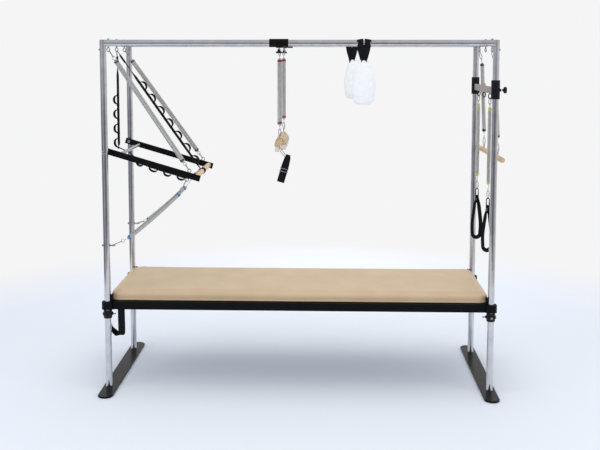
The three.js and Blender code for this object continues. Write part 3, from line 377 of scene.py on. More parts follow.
# The slide's sleeves are the satin black coat made a little glossier, with a bluer, paler colour
# that paints in their cool sheen.
SLEEVE_COAT_WITH_PAINTED_SHEEN = PowderCoat("satin_black_powder_coat_painted_blue_sheen", "#0e1016", 0.42, specular=0.16,
                         rubbed="#15181f")
# Taupe powder coat is the dull warm grey of the flat end bar.
TAUPE_COAT = PowderCoat("taupe_powder_coat", "#8b8078", 0.5, rubbed="#988d85")
MOULDED = PowderCoat("moulded_black_nylon", "#08080a", 0.42, specular=0.3, grain=2.4)
UPHOLSTERY = CoatedFabric("tan_vinyl_coated_fabric", "#cfb492", 0.46, coat=0.04, specular=0.35)
WEBBING = WovenCloth("black_nylon_webbing", "#040405", 0.8, specular=0.2, thread=2.2,
                     light="#141418")
STITCH = WovenCloth("waxed_polyester_thread", "#1c1d20", 0.7, thread=1.2, light="#303135")
CANVAS = WovenCloth("beige_cotton_canvas", "#b7a07c", 0.9, thread=2.6, weave=Weave.TWILL,
                    light="#cdb897")
FELT = WovenCloth("pink_white_felt", "#d9c4bb", 0.95, thread=2.0, light="#efe3dc", sheen=0.2)
MAPLE = Timber("varnished_maple", "#d3ae7c", 0.35, coat=0.2)
BOARD = Timber("black_stained_plywood", "#2a2420", 0.7, dark="#1d1916", light="#39322c")
FLEECE = WoolPile("white_sheepskin_fleece", "#fbfaf8", 0.95, sheen=0.4)


class TipColour(Enum):
    """Vinyl dipped ends that tell the springs' strengths apart."""

    GREEN = "#1f4a43"
    BLUE = "#2f7fae"
    CRIMSON = "#8e2238"
    YELLOW = "#c9cf4a"
    BLACK = "#16171a"

    def finish(self) -> Finish:
        """Returns the dipped vinyl finish of this colour."""
        return PowderCoat(f"dipped_vinyl_{self.name.lower()}", self.value, 0.4, grain=3.0,
                          rubbed=self.value)


def at(x: float, y: float, z: float) -> Vector:
    """Returns a point given in millimetres, still in millimetres."""
    return Vector((x, y, z))


def circle(radius: float, sides: int) -> list[tuple[float, float]]:
    """Returns the corners of a round section in millimetres."""
    turn = 2 * math.pi / sides
    return [(radius * math.cos(i * turn), radius * math.sin(i * turn)) for i in range(sides)]


def rounded(width: float, height: float, corner: float, steps: int = 3) -> list:
    """Returns a rectangle with round corners, as a section.

    Args:
        width: Size to the side in millimetres.
        height: Size upwards in millimetres.
        corner: Radius of the corners.
        steps: Edges in each corner.

    Returns:
        The section's corners, anticlockwise.
    """
    section = []
    for index, (side, rise) in enumerate(((1, 1), (-1, 1), (-1, -1), (1, -1))):
        for step in range(steps + 1):
            angle = math.pi / 2 * (index + step / steps)
            section.append((side * (width / 2 - corner) + corner * math.cos(angle),
                            rise * (height / 2 - corner) + corner * math.sin(angle)))
    return section


def curve(points: Sequence[Vector], steps: int = 8) -> list[Vector]:
    """Draws a smooth line through points.

    Args:
        points: Points that the line passes through.
        steps: Pieces between two of them.

    Returns:
        The line's points.
    """
    line = []
    last = len(points) - 1
    for i in range(last):
        a, b, c, d = (points[max(min(i + k, last), 0)] for k in (-1, 0, 1, 2))
        for step in range(steps):
            t = step / steps
            line.append(((2 * b) + (c - a) * t + (2 * a - 5 * b + 4 * c - d) * t * t
                         + (3 * b - a - 3 * c + d) * t ** 3) * 0.5)
    return line + [points[last].copy()]


def sides_of(direction: Vector) -> tuple[Vector, Vector]:
    """Returns two directions square to one, the first as level as it can be."""
    along = direction.normalized()
    level = along.cross(Z)
    level = X.copy() if level.length < 1e-3 else level.normalized()
    return level, along.cross(level)


def helix(start: Vector, run: Vector, count: int, first: float, last: float,
          sag: float = 0.0) -> list[Vector]:
    """Winds a line round a straight one, twelve points a turn.

    Args:
        start: Where the straight line starts.
        run: From there to its end.
        count: How many steps the winding has.
        first: Its radius at the start.
        last: Its radius at the end.
        sag: How far the middle hangs below the straight line.

    Returns:
        The winding's points.
    """
    one, two = sides_of(run)
    path = []
    for i in range(count + 1):
        share, angle = i / count, 2 * math.pi * i / 12
        radius = first + (last - first) * share
        path.append(start + run * share - Z * (4 * sag * share * (1 - share))
                    + (one * math.cos(angle) + two * math.sin(angle)) * radius)
    return path


def rod_profile(length: float, radius: float, chamfer: float) -> list[tuple[float, float]]:
    """Returns the profile of a round rod with chamfered ends."""
    return [(0, radius - chamfer), (chamfer, radius), (length / 2, radius),
            (length - chamfer, radius), (length, radius - chamfer)]


def sleeve_profile(length: float, bore: float, radius: float) -> list[tuple[float, float]]:
    """Returns the profile of a sleeve round a tube, once round its wall."""
    return [(1, bore), (0, bore + 1), (0, radius - 2), (0.8, radius - 0.6), (2, radius),
            (length / 2, radius), (length - 2, radius), (length - 0.8, radius - 0.6),
            (length, radius - 2), (length, bore + 1), (length - 1, bore), (1, bore)]


class Shape:
    """Gathers faces in millimetres, each with its finish, and makes one piece of them."""

    def __init__(self, name: str, body: str) -> None:
        """Starts an empty piece that will ride on a body, or on none if the body is unnamed."""
        self.name = name
        self.body = body
        self.points: list[Vector] = []
        self.faces: list[tuple[int, ...]] = []
        self.marks: list[int] = []
        self.finishes: list[Finish] = []

    def mark(self, finish: Finish) -> int:
        """Returns the number of a finish on this piece."""
        if finish not in self.finishes:
            self.finishes.append(finish)
        return self.finishes.index(finish)

    def skin(self, rings: Sequence[Sequence[Vector]], finish: Finish, loop: bool = False) -> None:
        """Spans faces between rings of points and closes the end rings.

        Args:
            rings: Rings with as many points each.
            finish: Finish of the faces.
            loop: Whether the last ring joins the first.
        """
        first, count, number = len(self.points), len(rings[0]), len(rings)
        for ring in rings:
            self.points.extend(ring)
        before = len(self.faces)
        for i in range(number if loop else number - 1):
            low, high = first + i * count, first + (i + 1) % number * count
            for j in range(count):
                k = (j + 1) % count
                self.faces.append((low + j, low + k, high + k, high + j))
        if not loop:
            self.faces.append(tuple(range(first + count - 1, first - 1, -1)))
            self.faces.append(tuple(range(first + (number - 1) * count, first + number * count)))
        self.marks += [self.mark(finish)] * (len(self.faces) - before)

    def sweep(self, path: Sequence[Vector], section: Sequence[tuple[float, float]],
              finish: Finish, up: Vector | None = None, loop: bool = False,
              scales: Sequence[tuple[float, float]] | None = None,
              ups: Sequence[Vector] | None = None) -> None:
        """Carries a section along a path.

        Args:
            path: Points of the path.
            section: Corners of the section, to the side and upwards.
            finish: Finish of the skin.
            up: The way that the section's upward side faces at the start.
            loop: Whether the path closes.
            scales: Widening and heightening at each point.
            ups: The upward side at each point, where it is given.
        """
        count = len(path)
        rings = []
        rise = (up or sides_of(path[1] - path[0])[1]).normalized()
        for i, point in enumerate(path):
            before = path[i - 1] if i or loop else path[0]
            after = path[(i + 1) % count] if i < count - 1 or loop else path[-1]
            along = (after - before).normalized()
            rise = ups[i] if ups else rise
            rise = (rise - along * rise.dot(along)).normalized()
            side = along.cross(rise)
            wide, high = scales[i] if scales else (1, 1)
            rings.append([point + side * a * wide + rise * b * high for a, b in section])
        self.skin(rings, finish, loop)

    def tube(self, path: Sequence[Vector], radius: float, finish: Finish, sides: int = 12,
             loop: bool = False) -> None:
        """Runs a round rod along a path."""
        self.sweep(path, circle(radius, sides), finish, loop=loop)

    def lathe(self, start: Vector, along: Vector, profile: Sequence[tuple[float, float]],
              finish: Finish, sides: int = 40) -> None:
        """Turns a profile round an axis.

        Args:
            start: Point on the axis that the profile is measured from.
            along: Direction of the axis.
            profile: Distances along the axis, each with its radius.
            finish: Finish of the skin.
            sides: Faces round the axis.
        """
        axis = along.normalized()
        one, two = sides_of(axis)
        rings = [[start + axis * way + one * a + two * b for a, b in circle(radius, sides)]
                 for way, radius in profile]
        self.skin(rings, finish)

    def block(self, low: Vector, high: Vector, finish: Finish, edge: float) -> None:
        """Adds a block with rounded edges.

        Args:
            low: Lowest corner.
            high: Highest corner.
            finish: Finish of the faces.
            edge: Radius of the edges.
        """
        mesh = bmesh.new()
        bmesh.ops.create_cube(mesh, size=1)
        middle, size = (low + high) / 2, high - low
        for vertex in mesh.verts:
            vertex.co = middle + Vector(c * s for c, s in zip(vertex.co, size))
        bmesh.ops.bevel(mesh, geom=list(mesh.edges), offset=edge, segments=3, profile=0.5,
                        affect="EDGES")
        first = len(self.points)
        mesh.verts.ensure_lookup_table()
        self.points.extend(v.co.copy() for v in mesh.verts)
        self.faces += [tuple(first + v.index for v in face.verts) for face in mesh.faces]
        self.marks += [self.mark(finish)] * len(mesh.faces)
        mesh.free()

    def solid(self) -> bpy.types.Object:
        """Makes the object with its finishes and its faces turned outwards."""
        mesh = bpy.data.meshes.new(self.name)
        mesh.from_pydata([point * 0.001 for point in self.points], [], self.faces)
        for finish in self.finishes:
            mesh.materials.append(finish.material())
        mesh.polygons.foreach_set("material_index", self.marks)
        work = bmesh.new()
        work.from_mesh(mesh)
        bmesh.ops.recalc_face_normals(work, faces=work.faces)
        work.to_mesh(mesh)
        work.free()
        return add_object(self.name, mesh)

    def piece(self, node: str, slot: str, angle: float = 38) -> bpy.types.Object:
        """Makes the object, lets it ride and hides the CAD node that it replaces.

        Args:
            node: CAD node that it replaces.
            slot: Material slot of the record; not used.
            angle: Edges sharper than this, in degrees, stay sharp.

        Returns:
            The new object.
        """
        piece = self.solid()
        piece.data.shade_smooth()
        piece.data.set_sharp_from_angle(angle=math.radians(angle))
        if self.body:
            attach(piece, self.body)
        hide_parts(node)
        return piece


def dress(name: str, finish: Finish, edge: float) -> bpy.types.Object:
    """Gives a CAD node that stays its finish and rounds its edges.

    Args:
        name: The node's name.
        finish: Its finish.
        edge: Width of the rounding in millimetres.

    Returns:
        The node's object.
    """
    node = frame["nodes"][name]
    node.data.materials.clear()
    node.data.materials.append(finish.material())
    node.data.shade_smooth()
    node.data.set_sharp_from_angle(angle=math.radians(35))
    bevel = node.modifiers.new("rounded_edges", "BEVEL")
    bevel.width, bevel.segments = mm(edge), 3
    bevel.limit_method, bevel.angle_limit = "ANGLE", math.radians(30)
    bevel.harden_normals = True
    return node


@dataclass(frozen=True)
class Canopy:
    """The steel tube canopy: four posts, two long rails, two end tubes and their screws."""

    half_length: float = 1130
    half_width: float = 340
    rail_height: float = 2060
    radius: float = 19
    foot: float = 12
    screw_drop: float = 38
    screw_radius: float = 5.5

    def build(self) -> list[bpy.types.Object]:
        """Makes the posts, rails and end tubes."""
        pieces = [self.post(end, face) for end in ENDS for face in FACES]
        pieces += [self.level(f"top_rail_{face}", at(0, side * self.half_width, 0), X,
                              self.half_length - 2) for face, side in FACES]
        return pieces + [self.level(f"top_end_tube_{end}", at(side * self.half_length, 0, 0), Y,
                                    self.half_width - 2) for end, side in ENDS]

    def post(self, end: tuple[str, int], face: tuple[str, int]) -> bpy.types.Object:
        """Makes a post that stands on its foot plate and closes at the top.

        Args:
            end: Name and sign of the end.
            face: Name and sign of the face.

        Returns:
            The post.
        """
        name = f"post_{face[0]}_{end[0]}"
        shape = Shape(f"{name}_tube", "frame")
        place = at(end[1] * self.half_length, face[1] * self.half_width, 0)
        top = self.rail_height + self.radius
        shape.lathe(place, Z, [
            (self.foot, self.radius), (self.foot + 40, self.radius),
            (top - 2, self.radius), (top, self.radius - 2)], STEEL_TUBE, 48)
        head = place + Z * (self.rail_height - self.screw_drop)
        out = X * end[1]
        shape.lathe(head + out * (self.radius - 1), out, [
            (0, self.screw_radius), (3, self.screw_radius), (4.6, self.screw_radius * 0.7),
            (4.8, self.screw_radius * 0.45), (3.2, self.screw_radius * 0.4)], GLOSS_COAT, 20)
        return shape.piece(name, "steel")

    def level(self, name: str, middle: Vector, along: Vector, reach: float) -> bpy.types.Object:
        """Makes a tube at the top that runs into the ones it meets at both ends.

        Args:
            name: The CAD node that it stands for.
            middle: The point on the floor below its middle.
            along: Its direction.
            reach: Half its length.

        Returns:
            The tube.
        """
        shape = Shape(f"{name}_tube", "frame")
        shape.lathe(middle + Z * self.rail_height - along * reach, along,
                    rod_profile(2 * reach, self.radius, 0)[1:4], STEEL_TUBE, 48)
        return shape.piece(name, "steel")


@dataclass(frozen=True)
class Eyebolts:
    """Eyebolts through the end tubes and the left posts, with washers and domed nuts."""

    canopy: Canopy
    inset: float = 130
    post_height: float = 873
    shank: float = 4
    eye_radius: float = 12
    wire: float = 3
    eye_drop: float = 4

    def build(self) -> list[bpy.types.Object]:
        """Makes the six eyebolts of the canopy and the two of the posts."""
        pieces = []
        spread = self.canopy.half_width - self.inset
        for end, sign in ENDS:
            for where, place in (("front", -spread), ("middle", 0), ("rear", spread)):
                name = f"canopy_eyebolt_{end}_{where}"
                start = at(sign * self.canopy.half_length, place, self.canopy.rail_height)
                pieces.append(self.eyebolt(name, start, -Z, (Y + X * 0.6).normalized()))
        for face, sign in FACES:
            start = at(-self.canopy.half_length, sign * self.canopy.half_width, self.post_height)
            pieces.append(self.eyebolt(f"post_eyebolt_{face}", start, X, Y))
        return pieces

    def eye_centre(self, sign: int, place: int) -> Vector:
        """Returns the middle of a canopy eye, by its end and its place across."""
        return at(sign * self.canopy.half_length, place * (self.canopy.half_width - self.inset),
                  self.canopy.rail_height - self.reach)

    def post_eye(self, sign: int) -> Vector:
        """Returns the middle of the eye on the left front or rear post."""
        return at(self.reach - self.canopy.half_length, sign * self.canopy.half_width,
                  self.post_height)

    @property
    def reach(self) -> float:
        """Distance from a tube's axis to the middle of the eye."""
        return self.canopy.radius + self.eye_drop + self.eye_radius + self.wire

    def eyebolt(self, name: str, middle: Vector, way: Vector, across: Vector) -> bpy.types.Object:
        """Makes one eyebolt.

        Args:
            name: The CAD node that it stands for.
            middle: Where the bolt crosses the tube's axis.
            way: Direction from there to the eye.
            across: Direction in the plane of the eye.

        Returns:
            The eyebolt.
        """
        shape = Shape(f"{name}_steel", "frame")
        radius, reach = self.canopy.radius, self.reach
        Eye(middle + way * reach, self.eye_radius, self.wire).build(shape, way, across, FITTING)
        low = -(radius + 9.5)
        shape.lathe(middle, way, [(low, self.shank * 0.8), (low + 1, self.shank),
                                  (reach - self.eye_radius, self.shank)], FITTING, 20)
        shape.lathe(middle, way, [(radius - 1, 8), (radius + 1.2, 8)], FITTING, 28)
        shape.lathe(middle, way, [(1 - radius, 8.4), (-radius - 1.2, 8.4)], FITTING, 28)
        shape.lathe(middle, way, [(-radius - 1, 7.6), (-radius - 6.5, 7.6),
                                  (-radius - 7.4, 6.2)], FITTING, 6)
        return shape.piece(name, "zinc_steel")


@dataclass(frozen=True)
class Bed:
    """The sprung bed frame: side rails, end frames, deck, foot plates and collars."""

    canopy: Canopy
    collar_low: float = 437.6
    collar_height: float = 48
    neck: float = 25
    bulge: float = 31
    pin: float = 3

    def build(self) -> list[bpy.types.Object]:
        """Dresses the bed's steel parts and makes the collars."""
        kept = [row for end, _ in ENDS for row in ((f"foot_plate_{end}", GLOSS_COAT, 1.2),
                                                   (f"bed_end_frame_{end}", SATIN_COAT, 2.2))]
        kept += [(f"bed_side_rail_{face}", SATIN_COAT, 2.0) for face, _ in FACES]
        kept.append(("bed_deck", BOARD, 1.0))
        return [dress(*row) for row in kept] + [self.collar(end, face) for end in ENDS
                                                for face in FACES]

    def collar(self, end: tuple[str, int], face: tuple[str, int]) -> bpy.types.Object:
        """Makes a moulded support collar that grips a post below the bed.

        Args:
            end: Name and sign of the end.
            face: Name and sign of the face.

        Returns:
            The collar with its locking pin.
        """
        name = f"support_collar_{face[0]}_{end[0]}"
        shape = Shape(f"{name}_nylon", "frame")
        foot = at(end[1] * self.canopy.half_length, face[1] * self.canopy.half_width,
                  self.collar_low)
        bore, height = self.canopy.radius + 0.4, self.collar_height
        profile = [
            (0.4, bore), (0, bore + 1.2), (0, self.neck - 1.2), (1.2, self.neck),
            (height * 0.3, self.neck + 0.4), (height * 0.36, self.bulge - 1),
            (height * 0.4, self.bulge), (height * 0.62, self.bulge),
            (height * 0.66, self.bulge - 1), (height * 0.72, self.neck + 0.4),
            (height - 1.2, self.neck), (height, self.neck - 1.2), (height, bore + 1.2),
            (height - 0.4, bore), (0.4, bore)]
        shape.lathe(foot, Z, profile, MOULDED, 40)
        middle = foot + Z * (height / 2)
        inward = X * -end[1]
        shape.lathe(middle + inward * (self.bulge - 2), inward,
                    [(0, 6.5), (3.4, 6.5), (4.4, 5.6)], MOULDED, 24)
        shape.lathe(middle + inward * (self.bulge + 2), inward,
                    [(0, self.pin), (9, self.pin), (10.5, self.pin + 2.2), (14, self.pin + 2.2),
                     (15, self.pin + 1)], FITTING, 20)
        outer = Y * face[1]
        head = FITTING if end[1] > 0 else GLOSS_COAT
        shape.lathe(middle + outer * (self.bulge - 3), outer,
                    [(0, 6.4), (3.6, 6.4), (4.6, 5.2), (5.2, 2.4)], head, 16)
        return shape.piece(name, "black_plastic")


@dataclass(frozen=True)
class Mattress:
    """The upholstered pad: foam under coated fabric, with sewn corners."""

    half_length: float = 1128
    half_width: float = 330
    bottom: float = 537.2
    thickness: float = 52
    corner: float = 60
    voxel: float = 7
    swell: float = 8
    pressure: float = 4
    frames: int = 20

    def build(self) -> list[bpy.types.Object]:
        """Makes the pad, blows it up a little and sews its seams."""
        pad = self.shell()
        self.inflate(pad)
        self.settle(pad)
        pad.modifiers.new("smooth_cover", "SUBSURF").levels = 1
        pad.modifiers["smooth_cover"].render_levels = 1
        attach(pad, "frame")
        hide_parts("mattress")
        return [pad, self.seams()]

    def outline(self, inset: float) -> list[Vector]:
        """Returns the pad's plan outline, pulled in by a distance in millimetres."""
        return [at(x, y, 0) for x, y in rounded(
            2 * (self.half_length - inset), 2 * (self.half_width - inset),
            max(self.corner - inset, 4), 6)]

    def shell(self) -> bpy.types.Object:
        """Returns the closed pad, slightly smaller than it will be, as an object."""
        shape = Shape("mattress_pad", "frame")
        top, low = self.bottom + self.thickness, self.bottom
        levels = [(26, low + 0.6), (9, low + 0.6), (4, low + 3), (1.5, low + 9),
                  (1, low + self.thickness * 0.5), (1.2, top - 13), (3, top - 6.5),
                  (7, top - 2.2), (14, top - 0.4), (40, top + 0.5), (120, top + 2)]
        rings = [[point + Z * height for point in self.outline(inset)] for inset, height in levels]
        shape.skin(rings, UPHOLSTERY)
        pad = shape.solid()
        remesh = pad.modifiers.new("even_quads", "REMESH")
        remesh.mode = "VOXEL"
        remesh.voxel_size = mm(self.voxel)
        remesh.use_smooth_shade = True
        apply_all(pad)
        return pad

    def inflate(self, pad: bpy.types.Object) -> None:
        """Lets air pressure swell the cover, no further than a cap.

        Args:
            pad: The pad's object, whose mesh changes.
        """
        start = [vertex.co.copy() for vertex in pad.data.vertices]
        group = pad.vertex_groups.new(name="held")
        held = [v.index for v in pad.data.vertices if v.co.z < mm(self.bottom + 6)]
        group.add(held, 1.0, "REPLACE")
        cloth = pad.modifiers.new("cover", "CLOTH")
        cloth.settings.use_pressure = True
        cloth.settings.uniform_pressure_force = self.pressure
        cloth.settings.effector_weights.gravity = 0
        cloth.settings.vertex_group_mass = "held"
        cloth.settings.quality = 4
        cloth.collision_settings.use_collision = False
        cloth.point_cache.frame_start = 1
        cloth.point_cache.frame_end = self.frames
        for number in range(1, self.frames + 1):
            bpy.context.scene.frame_set(number)
        apply_all(pad)
        cap = mm(self.swell)
        for vertex, origin in zip(pad.data.vertices, start):
            move = vertex.co - origin
            if move.length > cap:
                vertex.co = origin + move.normalized() * cap
        bpy.context.scene.frame_set(1)

    def settle(self, pad: bpy.types.Object) -> None:
        """Keeps the pad in its box, flat below, with soft creases near the corners.

        Args:
            pad: The pad's object, whose mesh changes.
        """
        top = mm(self.bottom + self.thickness)
        long_side, short_side = mm(self.half_length - 1), mm(self.half_width - 1)
        for vertex in pad.data.vertices:
            place = vertex.co
            place.x = max(-long_side, min(long_side, place.x))
            place.y = max(-short_side, min(short_side, place.y))
            place.z = max(place.z, mm(self.bottom))
            if place.z > top - mm(16):
                place.z -= self.crease(place)
                place.z = min(place.z, top + mm(5.5))

    def crease(self, place: Vector) -> float:
        """Returns how deep the cover dips at a point, in metres."""
        along = (mm(self.half_length) - abs(place.x)) / mm(260)
        inward = (mm(self.half_width) - abs(place.y)) / mm(330)
        if along > 1.4 or inward > 1.6:
            return 0.0
        offset = inward - 0.25 - 0.9 * (1 - along) ** 2 * (1 if along < 1 else 0)
        return mm(3.2) * math.exp(-(offset / 0.045) ** 2) * max(0.0, 1 - along / 1.4)

    def seams(self) -> bpy.types.Object:
        """Makes the sewn corner seams and the hem below, as thin rows of thread."""
        shape = Shape("mattress_seams", "frame")
        for a in (-1, 1):
            for b in (-1, 1):
                diagonal = at(a, b, 0).normalized()
                corner = at(a * (self.half_length - self.corner),
                            b * (self.half_width - self.corner), 0)
                heights = [(self.corner - 5.5, 2), (self.corner - 2.2, 8),
                           (self.corner - 1.0, self.thickness * 0.5),
                           (self.corner - 1.8, self.thickness - 17),
                           (self.corner - 5.5, self.thickness - 8),
                           (self.corner - 13, self.thickness - 2.2)]
                line = curve([corner + diagonal * reach + Z * (self.bottom + height)
                              for reach, height in heights], 5)
                shape.tube(line, 1.5, UPHOLSTERY, 8)
        return shape.piece("mattress", "tan_coated_fabric")


def apply_all(piece: bpy.types.Object) -> None:
    """Applies all modifiers of an object to its mesh."""
    view = bpy.context.evaluated_depsgraph_get()
    mesh = bpy.data.meshes.new_from_object(piece.evaluated_get(view))
    piece.modifiers.clear()
    piece.data = mesh


@dataclass(frozen=True)
class Strap:
    """A flat strap of webbing, its width, thickness and finish."""

    width: float = 24
    thickness: float = 2.6
    finish: Finish = WEBBING

    def lay(self, shape: Shape, path: Sequence[Vector], across: Vector, loop: bool = False,
            widths: Sequence[float] | None = None,
            twist: Sequence[Vector] | None = None) -> None:
        """Lays the strap along a path.

        Args:
            shape: The piece that gets it.
            path: Points along the strap's middle.
            across: Direction of its width.
            loop: Whether its ends meet.
            widths: Share of the full width at each point.
            twist: Direction of the width at each point, where the strap is twisted.
        """
        section = rounded(self.thickness, self.width, self.thickness * 0.45)
        scales = [(1, share) for share in widths] if widths else None
        shape.sweep(path, section, self.finish, up=across, loop=loop, scales=scales, ups=twist)

    def stitches(self, shape: Shape, path: Sequence[Vector], across: Vector, lift: float) -> None:
        """Sews two rows of thread along a stretch of the strap.

        Args:
            shape: The piece that gets them.
            path: The stretch's points.
            across: Direction of the width.
            lift: Height above the strap's middle.
        """
        for row in (-0.36, 0.36):
            for a, b in zip(path[::2], path[1::2]):
                along = b - a
                rise = along.cross(across).normalized() * lift
                side = across.normalized() * (row * self.width)
                shape.tube([a + side + rise, b + side + rise], 0.55, STITCH, 5)


@dataclass(frozen=True)
class SafetyStrap:
    """The bed's safety strap: wide webbing that hangs below the left front corner."""

    strap: Strap = Strap(width=42, thickness=3)
    x: float = -1051
    front: float = -336
    rear: float = -264
    top: float = 489.5
    low: float = 321

    def build(self) -> list[bpy.types.Object]:
        """Makes the strap: down, folded over and back up behind the post."""
        shape = Shape("bed_safety_strap_webbing", "frame")
        x, low = self.x, self.low
        places = [at(x, self.front, self.top), at(x, self.front + 1, self.top - 60),
                  at(x, self.front + 3, low + 52), at(x - 3, self.front + 8, low + 20),
                  at(x - 20, self.front + 22, low + 3), at(x - 52, self.front + 42, low + 18),
                  at(x - 82, self.rear - 14, low + 44), at(x - 92, self.rear - 4, low + 104),
                  at(x - 92, self.rear, self.top)]
        turns = [0, 0, 0, 6, 24, 52, 72, 80, 80]
        path = curve(places, 6)
        twist = []
        for i in range(len(path)):
            place = i / 6
            first = min(int(place), len(turns) - 2)
            angle = math.radians(turns[first]
                                 + (turns[first + 1] - turns[first]) * (place - first))
            twist.append(X * math.cos(angle) + Y * math.sin(angle))
        self.strap.lay(shape, path, X, twist=twist)
        self.strap.stitches(shape, path[1:11], X, 1.6)
        return [shape.piece("bed_safety_strap", "black_webbing")]


@dataclass(frozen=True)
class Eye:
    """A ring of wire that a hook goes into."""

    centre: Vector
    radius: float = 12
    wire: float = 3

    def build(self, shape: Shape, one: Vector, two: Vector, finish: Finish) -> None:
        """Adds the ring in the plane of two directions."""
        shape.tube(loop_points(self.centre, one, two, self.radius, 28), self.wire, finish, 12,
                   loop=True)

    def screw(self, shape: Shape, way: Vector) -> None:
        """Adds the ring with a shank that goes into the wood in a direction."""
        self.build(shape, Y, Z, FITTING)
        shape.lathe(self.centre + way * (self.radius - 0.5), way, [(0, 2.6), (3, 2.6)],
                    FITTING, 16)

    def tip(self, pull: Vector, wire: float) -> Vector:
        """Returns where a hook of some wire radius bears on the ring when pulled."""
        return self.centre + pull * (self.radius - self.wire - wire - 0.3)


def loop_points(centre: Vector, one: Vector, two: Vector, radius: float,
                count: int) -> list[Vector]:
    """Returns a circle's points.

    Args:
        centre: The circle's middle.
        one: First direction of its plane.
        two: Second direction of its plane.
        radius: Its radius.
        count: How many points.

    Returns:
        The points, once round.
    """
    turn = 2 * math.pi / count
    return [centre + (one * math.cos(i * turn) + two * math.sin(i * turn)) * radius
            for i in range(count)]


def arc(centre: Vector, one: Vector, two: Vector, steps: int) -> list[Vector]:
    """Returns half an ellipse's points, from one half axis over two to the other end of one."""
    return [centre + one * math.cos(math.pi * k / steps) + two * math.sin(math.pi * k / steps)
            for k in range(steps + 1)]


def pear(tip: Vector, run: Vector, across: Vector, narrow: float,
         count: int) -> list[tuple[Vector, float]]:
    """Returns the points of a ring that widens from its tip.

    Args:
        tip: The middle of its narrow end.
        run: From there to its wide end.
        across: Half its full width, to one side.
        narrow: The narrow end's width as a share of the full one.
        count: How many points.

    Returns:
        The points, once round, each with its share of the way along.
    """
    ring = []
    for i in range(count):
        angle = 2 * math.pi * i / count
        share = (1 - math.cos(angle)) / 2
        wide = (narrow + (1 - narrow) * share) * math.sin(angle)
        ring.append((tip + run * share + across * wide, share))
    return ring


@dataclass(frozen=True)
class SnapHook:
    """A pear shaped snap hook with a sprung gate."""

    length: float = 52
    width: float = 16
    wire: float = 2.2

    def build(self, shape: Shape, tip: Vector, along: Vector, across: Vector) -> Vector:
        """Adds the hook.

        Args:
            shape: The piece that gets it.
            tip: Where its narrow end hangs.
            along: Direction from the tip to the wide end.
            across: Direction of its width.

        Returns:
            The middle of its wide end's wire.
        """
        ring = [point for point, _ in pear(tip, along * self.length, across * (self.width / 2),
                                           0.62, 32)]
        shape.tube(ring, self.wire, FITTING, 10, loop=True)
        gate = [ring[9] + (ring[8] - ring[9]) * 0.2, ring[5]]
        shape.tube(gate, self.wire + 0.7, FITTING, 10)
        return tip + along * self.length


@dataclass(frozen=True)
class Spring:
    """A close wound pull spring: dipped ends, plain end loops and a snap hook at each end."""

    radius: float
    tip: TipColour
    lead_start: float = 100
    lead_end: float = 90
    wire: float = 2.0
    dip: float = 10
    cone: float = 9
    sag: float = 0.0
    start_shift: tuple[float, float] = (0, 0)
    end_shift: tuple[float, float] = (0, 0)
    hook: SnapHook = SnapHook()
    PACKING: ClassVar[float] = 2.12  # pitch over wire radius: the turns all but touch

    def build(self, shape: Shape, start: Eye, end: Eye, across: Vector = Y) -> None:
        """Adds the spring between two eyes.

        Args:
            shape: The piece that gets it.
            start: The eye that holds it.
            end: The eye at its other end.
            across: Direction of the hooks' width.
        """
        pull = (end.centre - start.centre).normalized()
        first, last = start.tip(pull, self.hook.wire), end.tip(-pull, self.hook.wire)
        pull = (last - first).normalized()
        coil_start = first + pull * self.lead_start + at(self.start_shift[0], 0,
                                                         self.start_shift[1])
        coil_end = last - pull * self.lead_end + at(self.end_shift[0], 0, self.end_shift[1])
        middle = (coil_start + coil_end) / 2 - Z * self.sag * 2
        lean_start, lean_end = (middle - coil_start).normalized(), (middle - coil_end).normalized()
        for tip, coil, lean in ((first, coil_start, lean_start), (last, coil_end, lean_end)):
            self.end(shape, tip, coil, lean, across)
        span, full = coil_end - coil_start, self.radius - self.wire
        turns = round(span.length / (self.wire * self.PACKING))
        shape.tube(helix(coil_start, span, turns * 12, full, full, self.sag), self.wire,
                   SPRING_WIRE, 6)

    def end(self, shape: Shape, tip: Vector, coil: Vector, lean: Vector,
            across: Vector) -> None:
        """Adds a hook, the spring's end loop, its drawn in end and the dipped coils.

        Args:
            shape: The piece that gets them.
            tip: Where the hook bears on its eye.
            coil: Where the plain winding starts.
            lean: Direction of the winding there.
            across: Direction of the hook's width.
        """
        mouth = coil - lean * (self.dip + self.cone)
        way = (mouth - tip).normalized()
        lead = (mouth - tip).length
        hook = SnapHook(min(self.hook.length, lead * 0.7), self.hook.width, self.hook.wire)
        hold = hook.build(shape, tip, way, across)
        aside = way.cross(across).normalized()
        ring = hold - way * (self.wire * 2 + 0.6)
        eye_radius = min(self.radius * 0.72, (mouth - ring).length * 0.42)
        centre = ring + way * eye_radius
        loop = loop_points(centre, way, aside, eye_radius, 24)
        full = self.radius - self.wire
        drawn = helix(mouth, lean * self.cone, 24, self.radius * 0.45, full)
        bridge = curve([loop[0], centre + way * eye_radius * 1.3, drawn[0]], 3)
        shape.tube([*loop[2:], *bridge[:-1], *drawn], self.wire, SPRING_WIRE, 8)
        dipped = helix(mouth + lean * self.cone, lean * self.dip,
                       int(self.dip / (self.wire * self.PACKING) * 12), full, full)
        shape.tube(dipped, self.wire + 0.35, self.tip.finish(), 7)


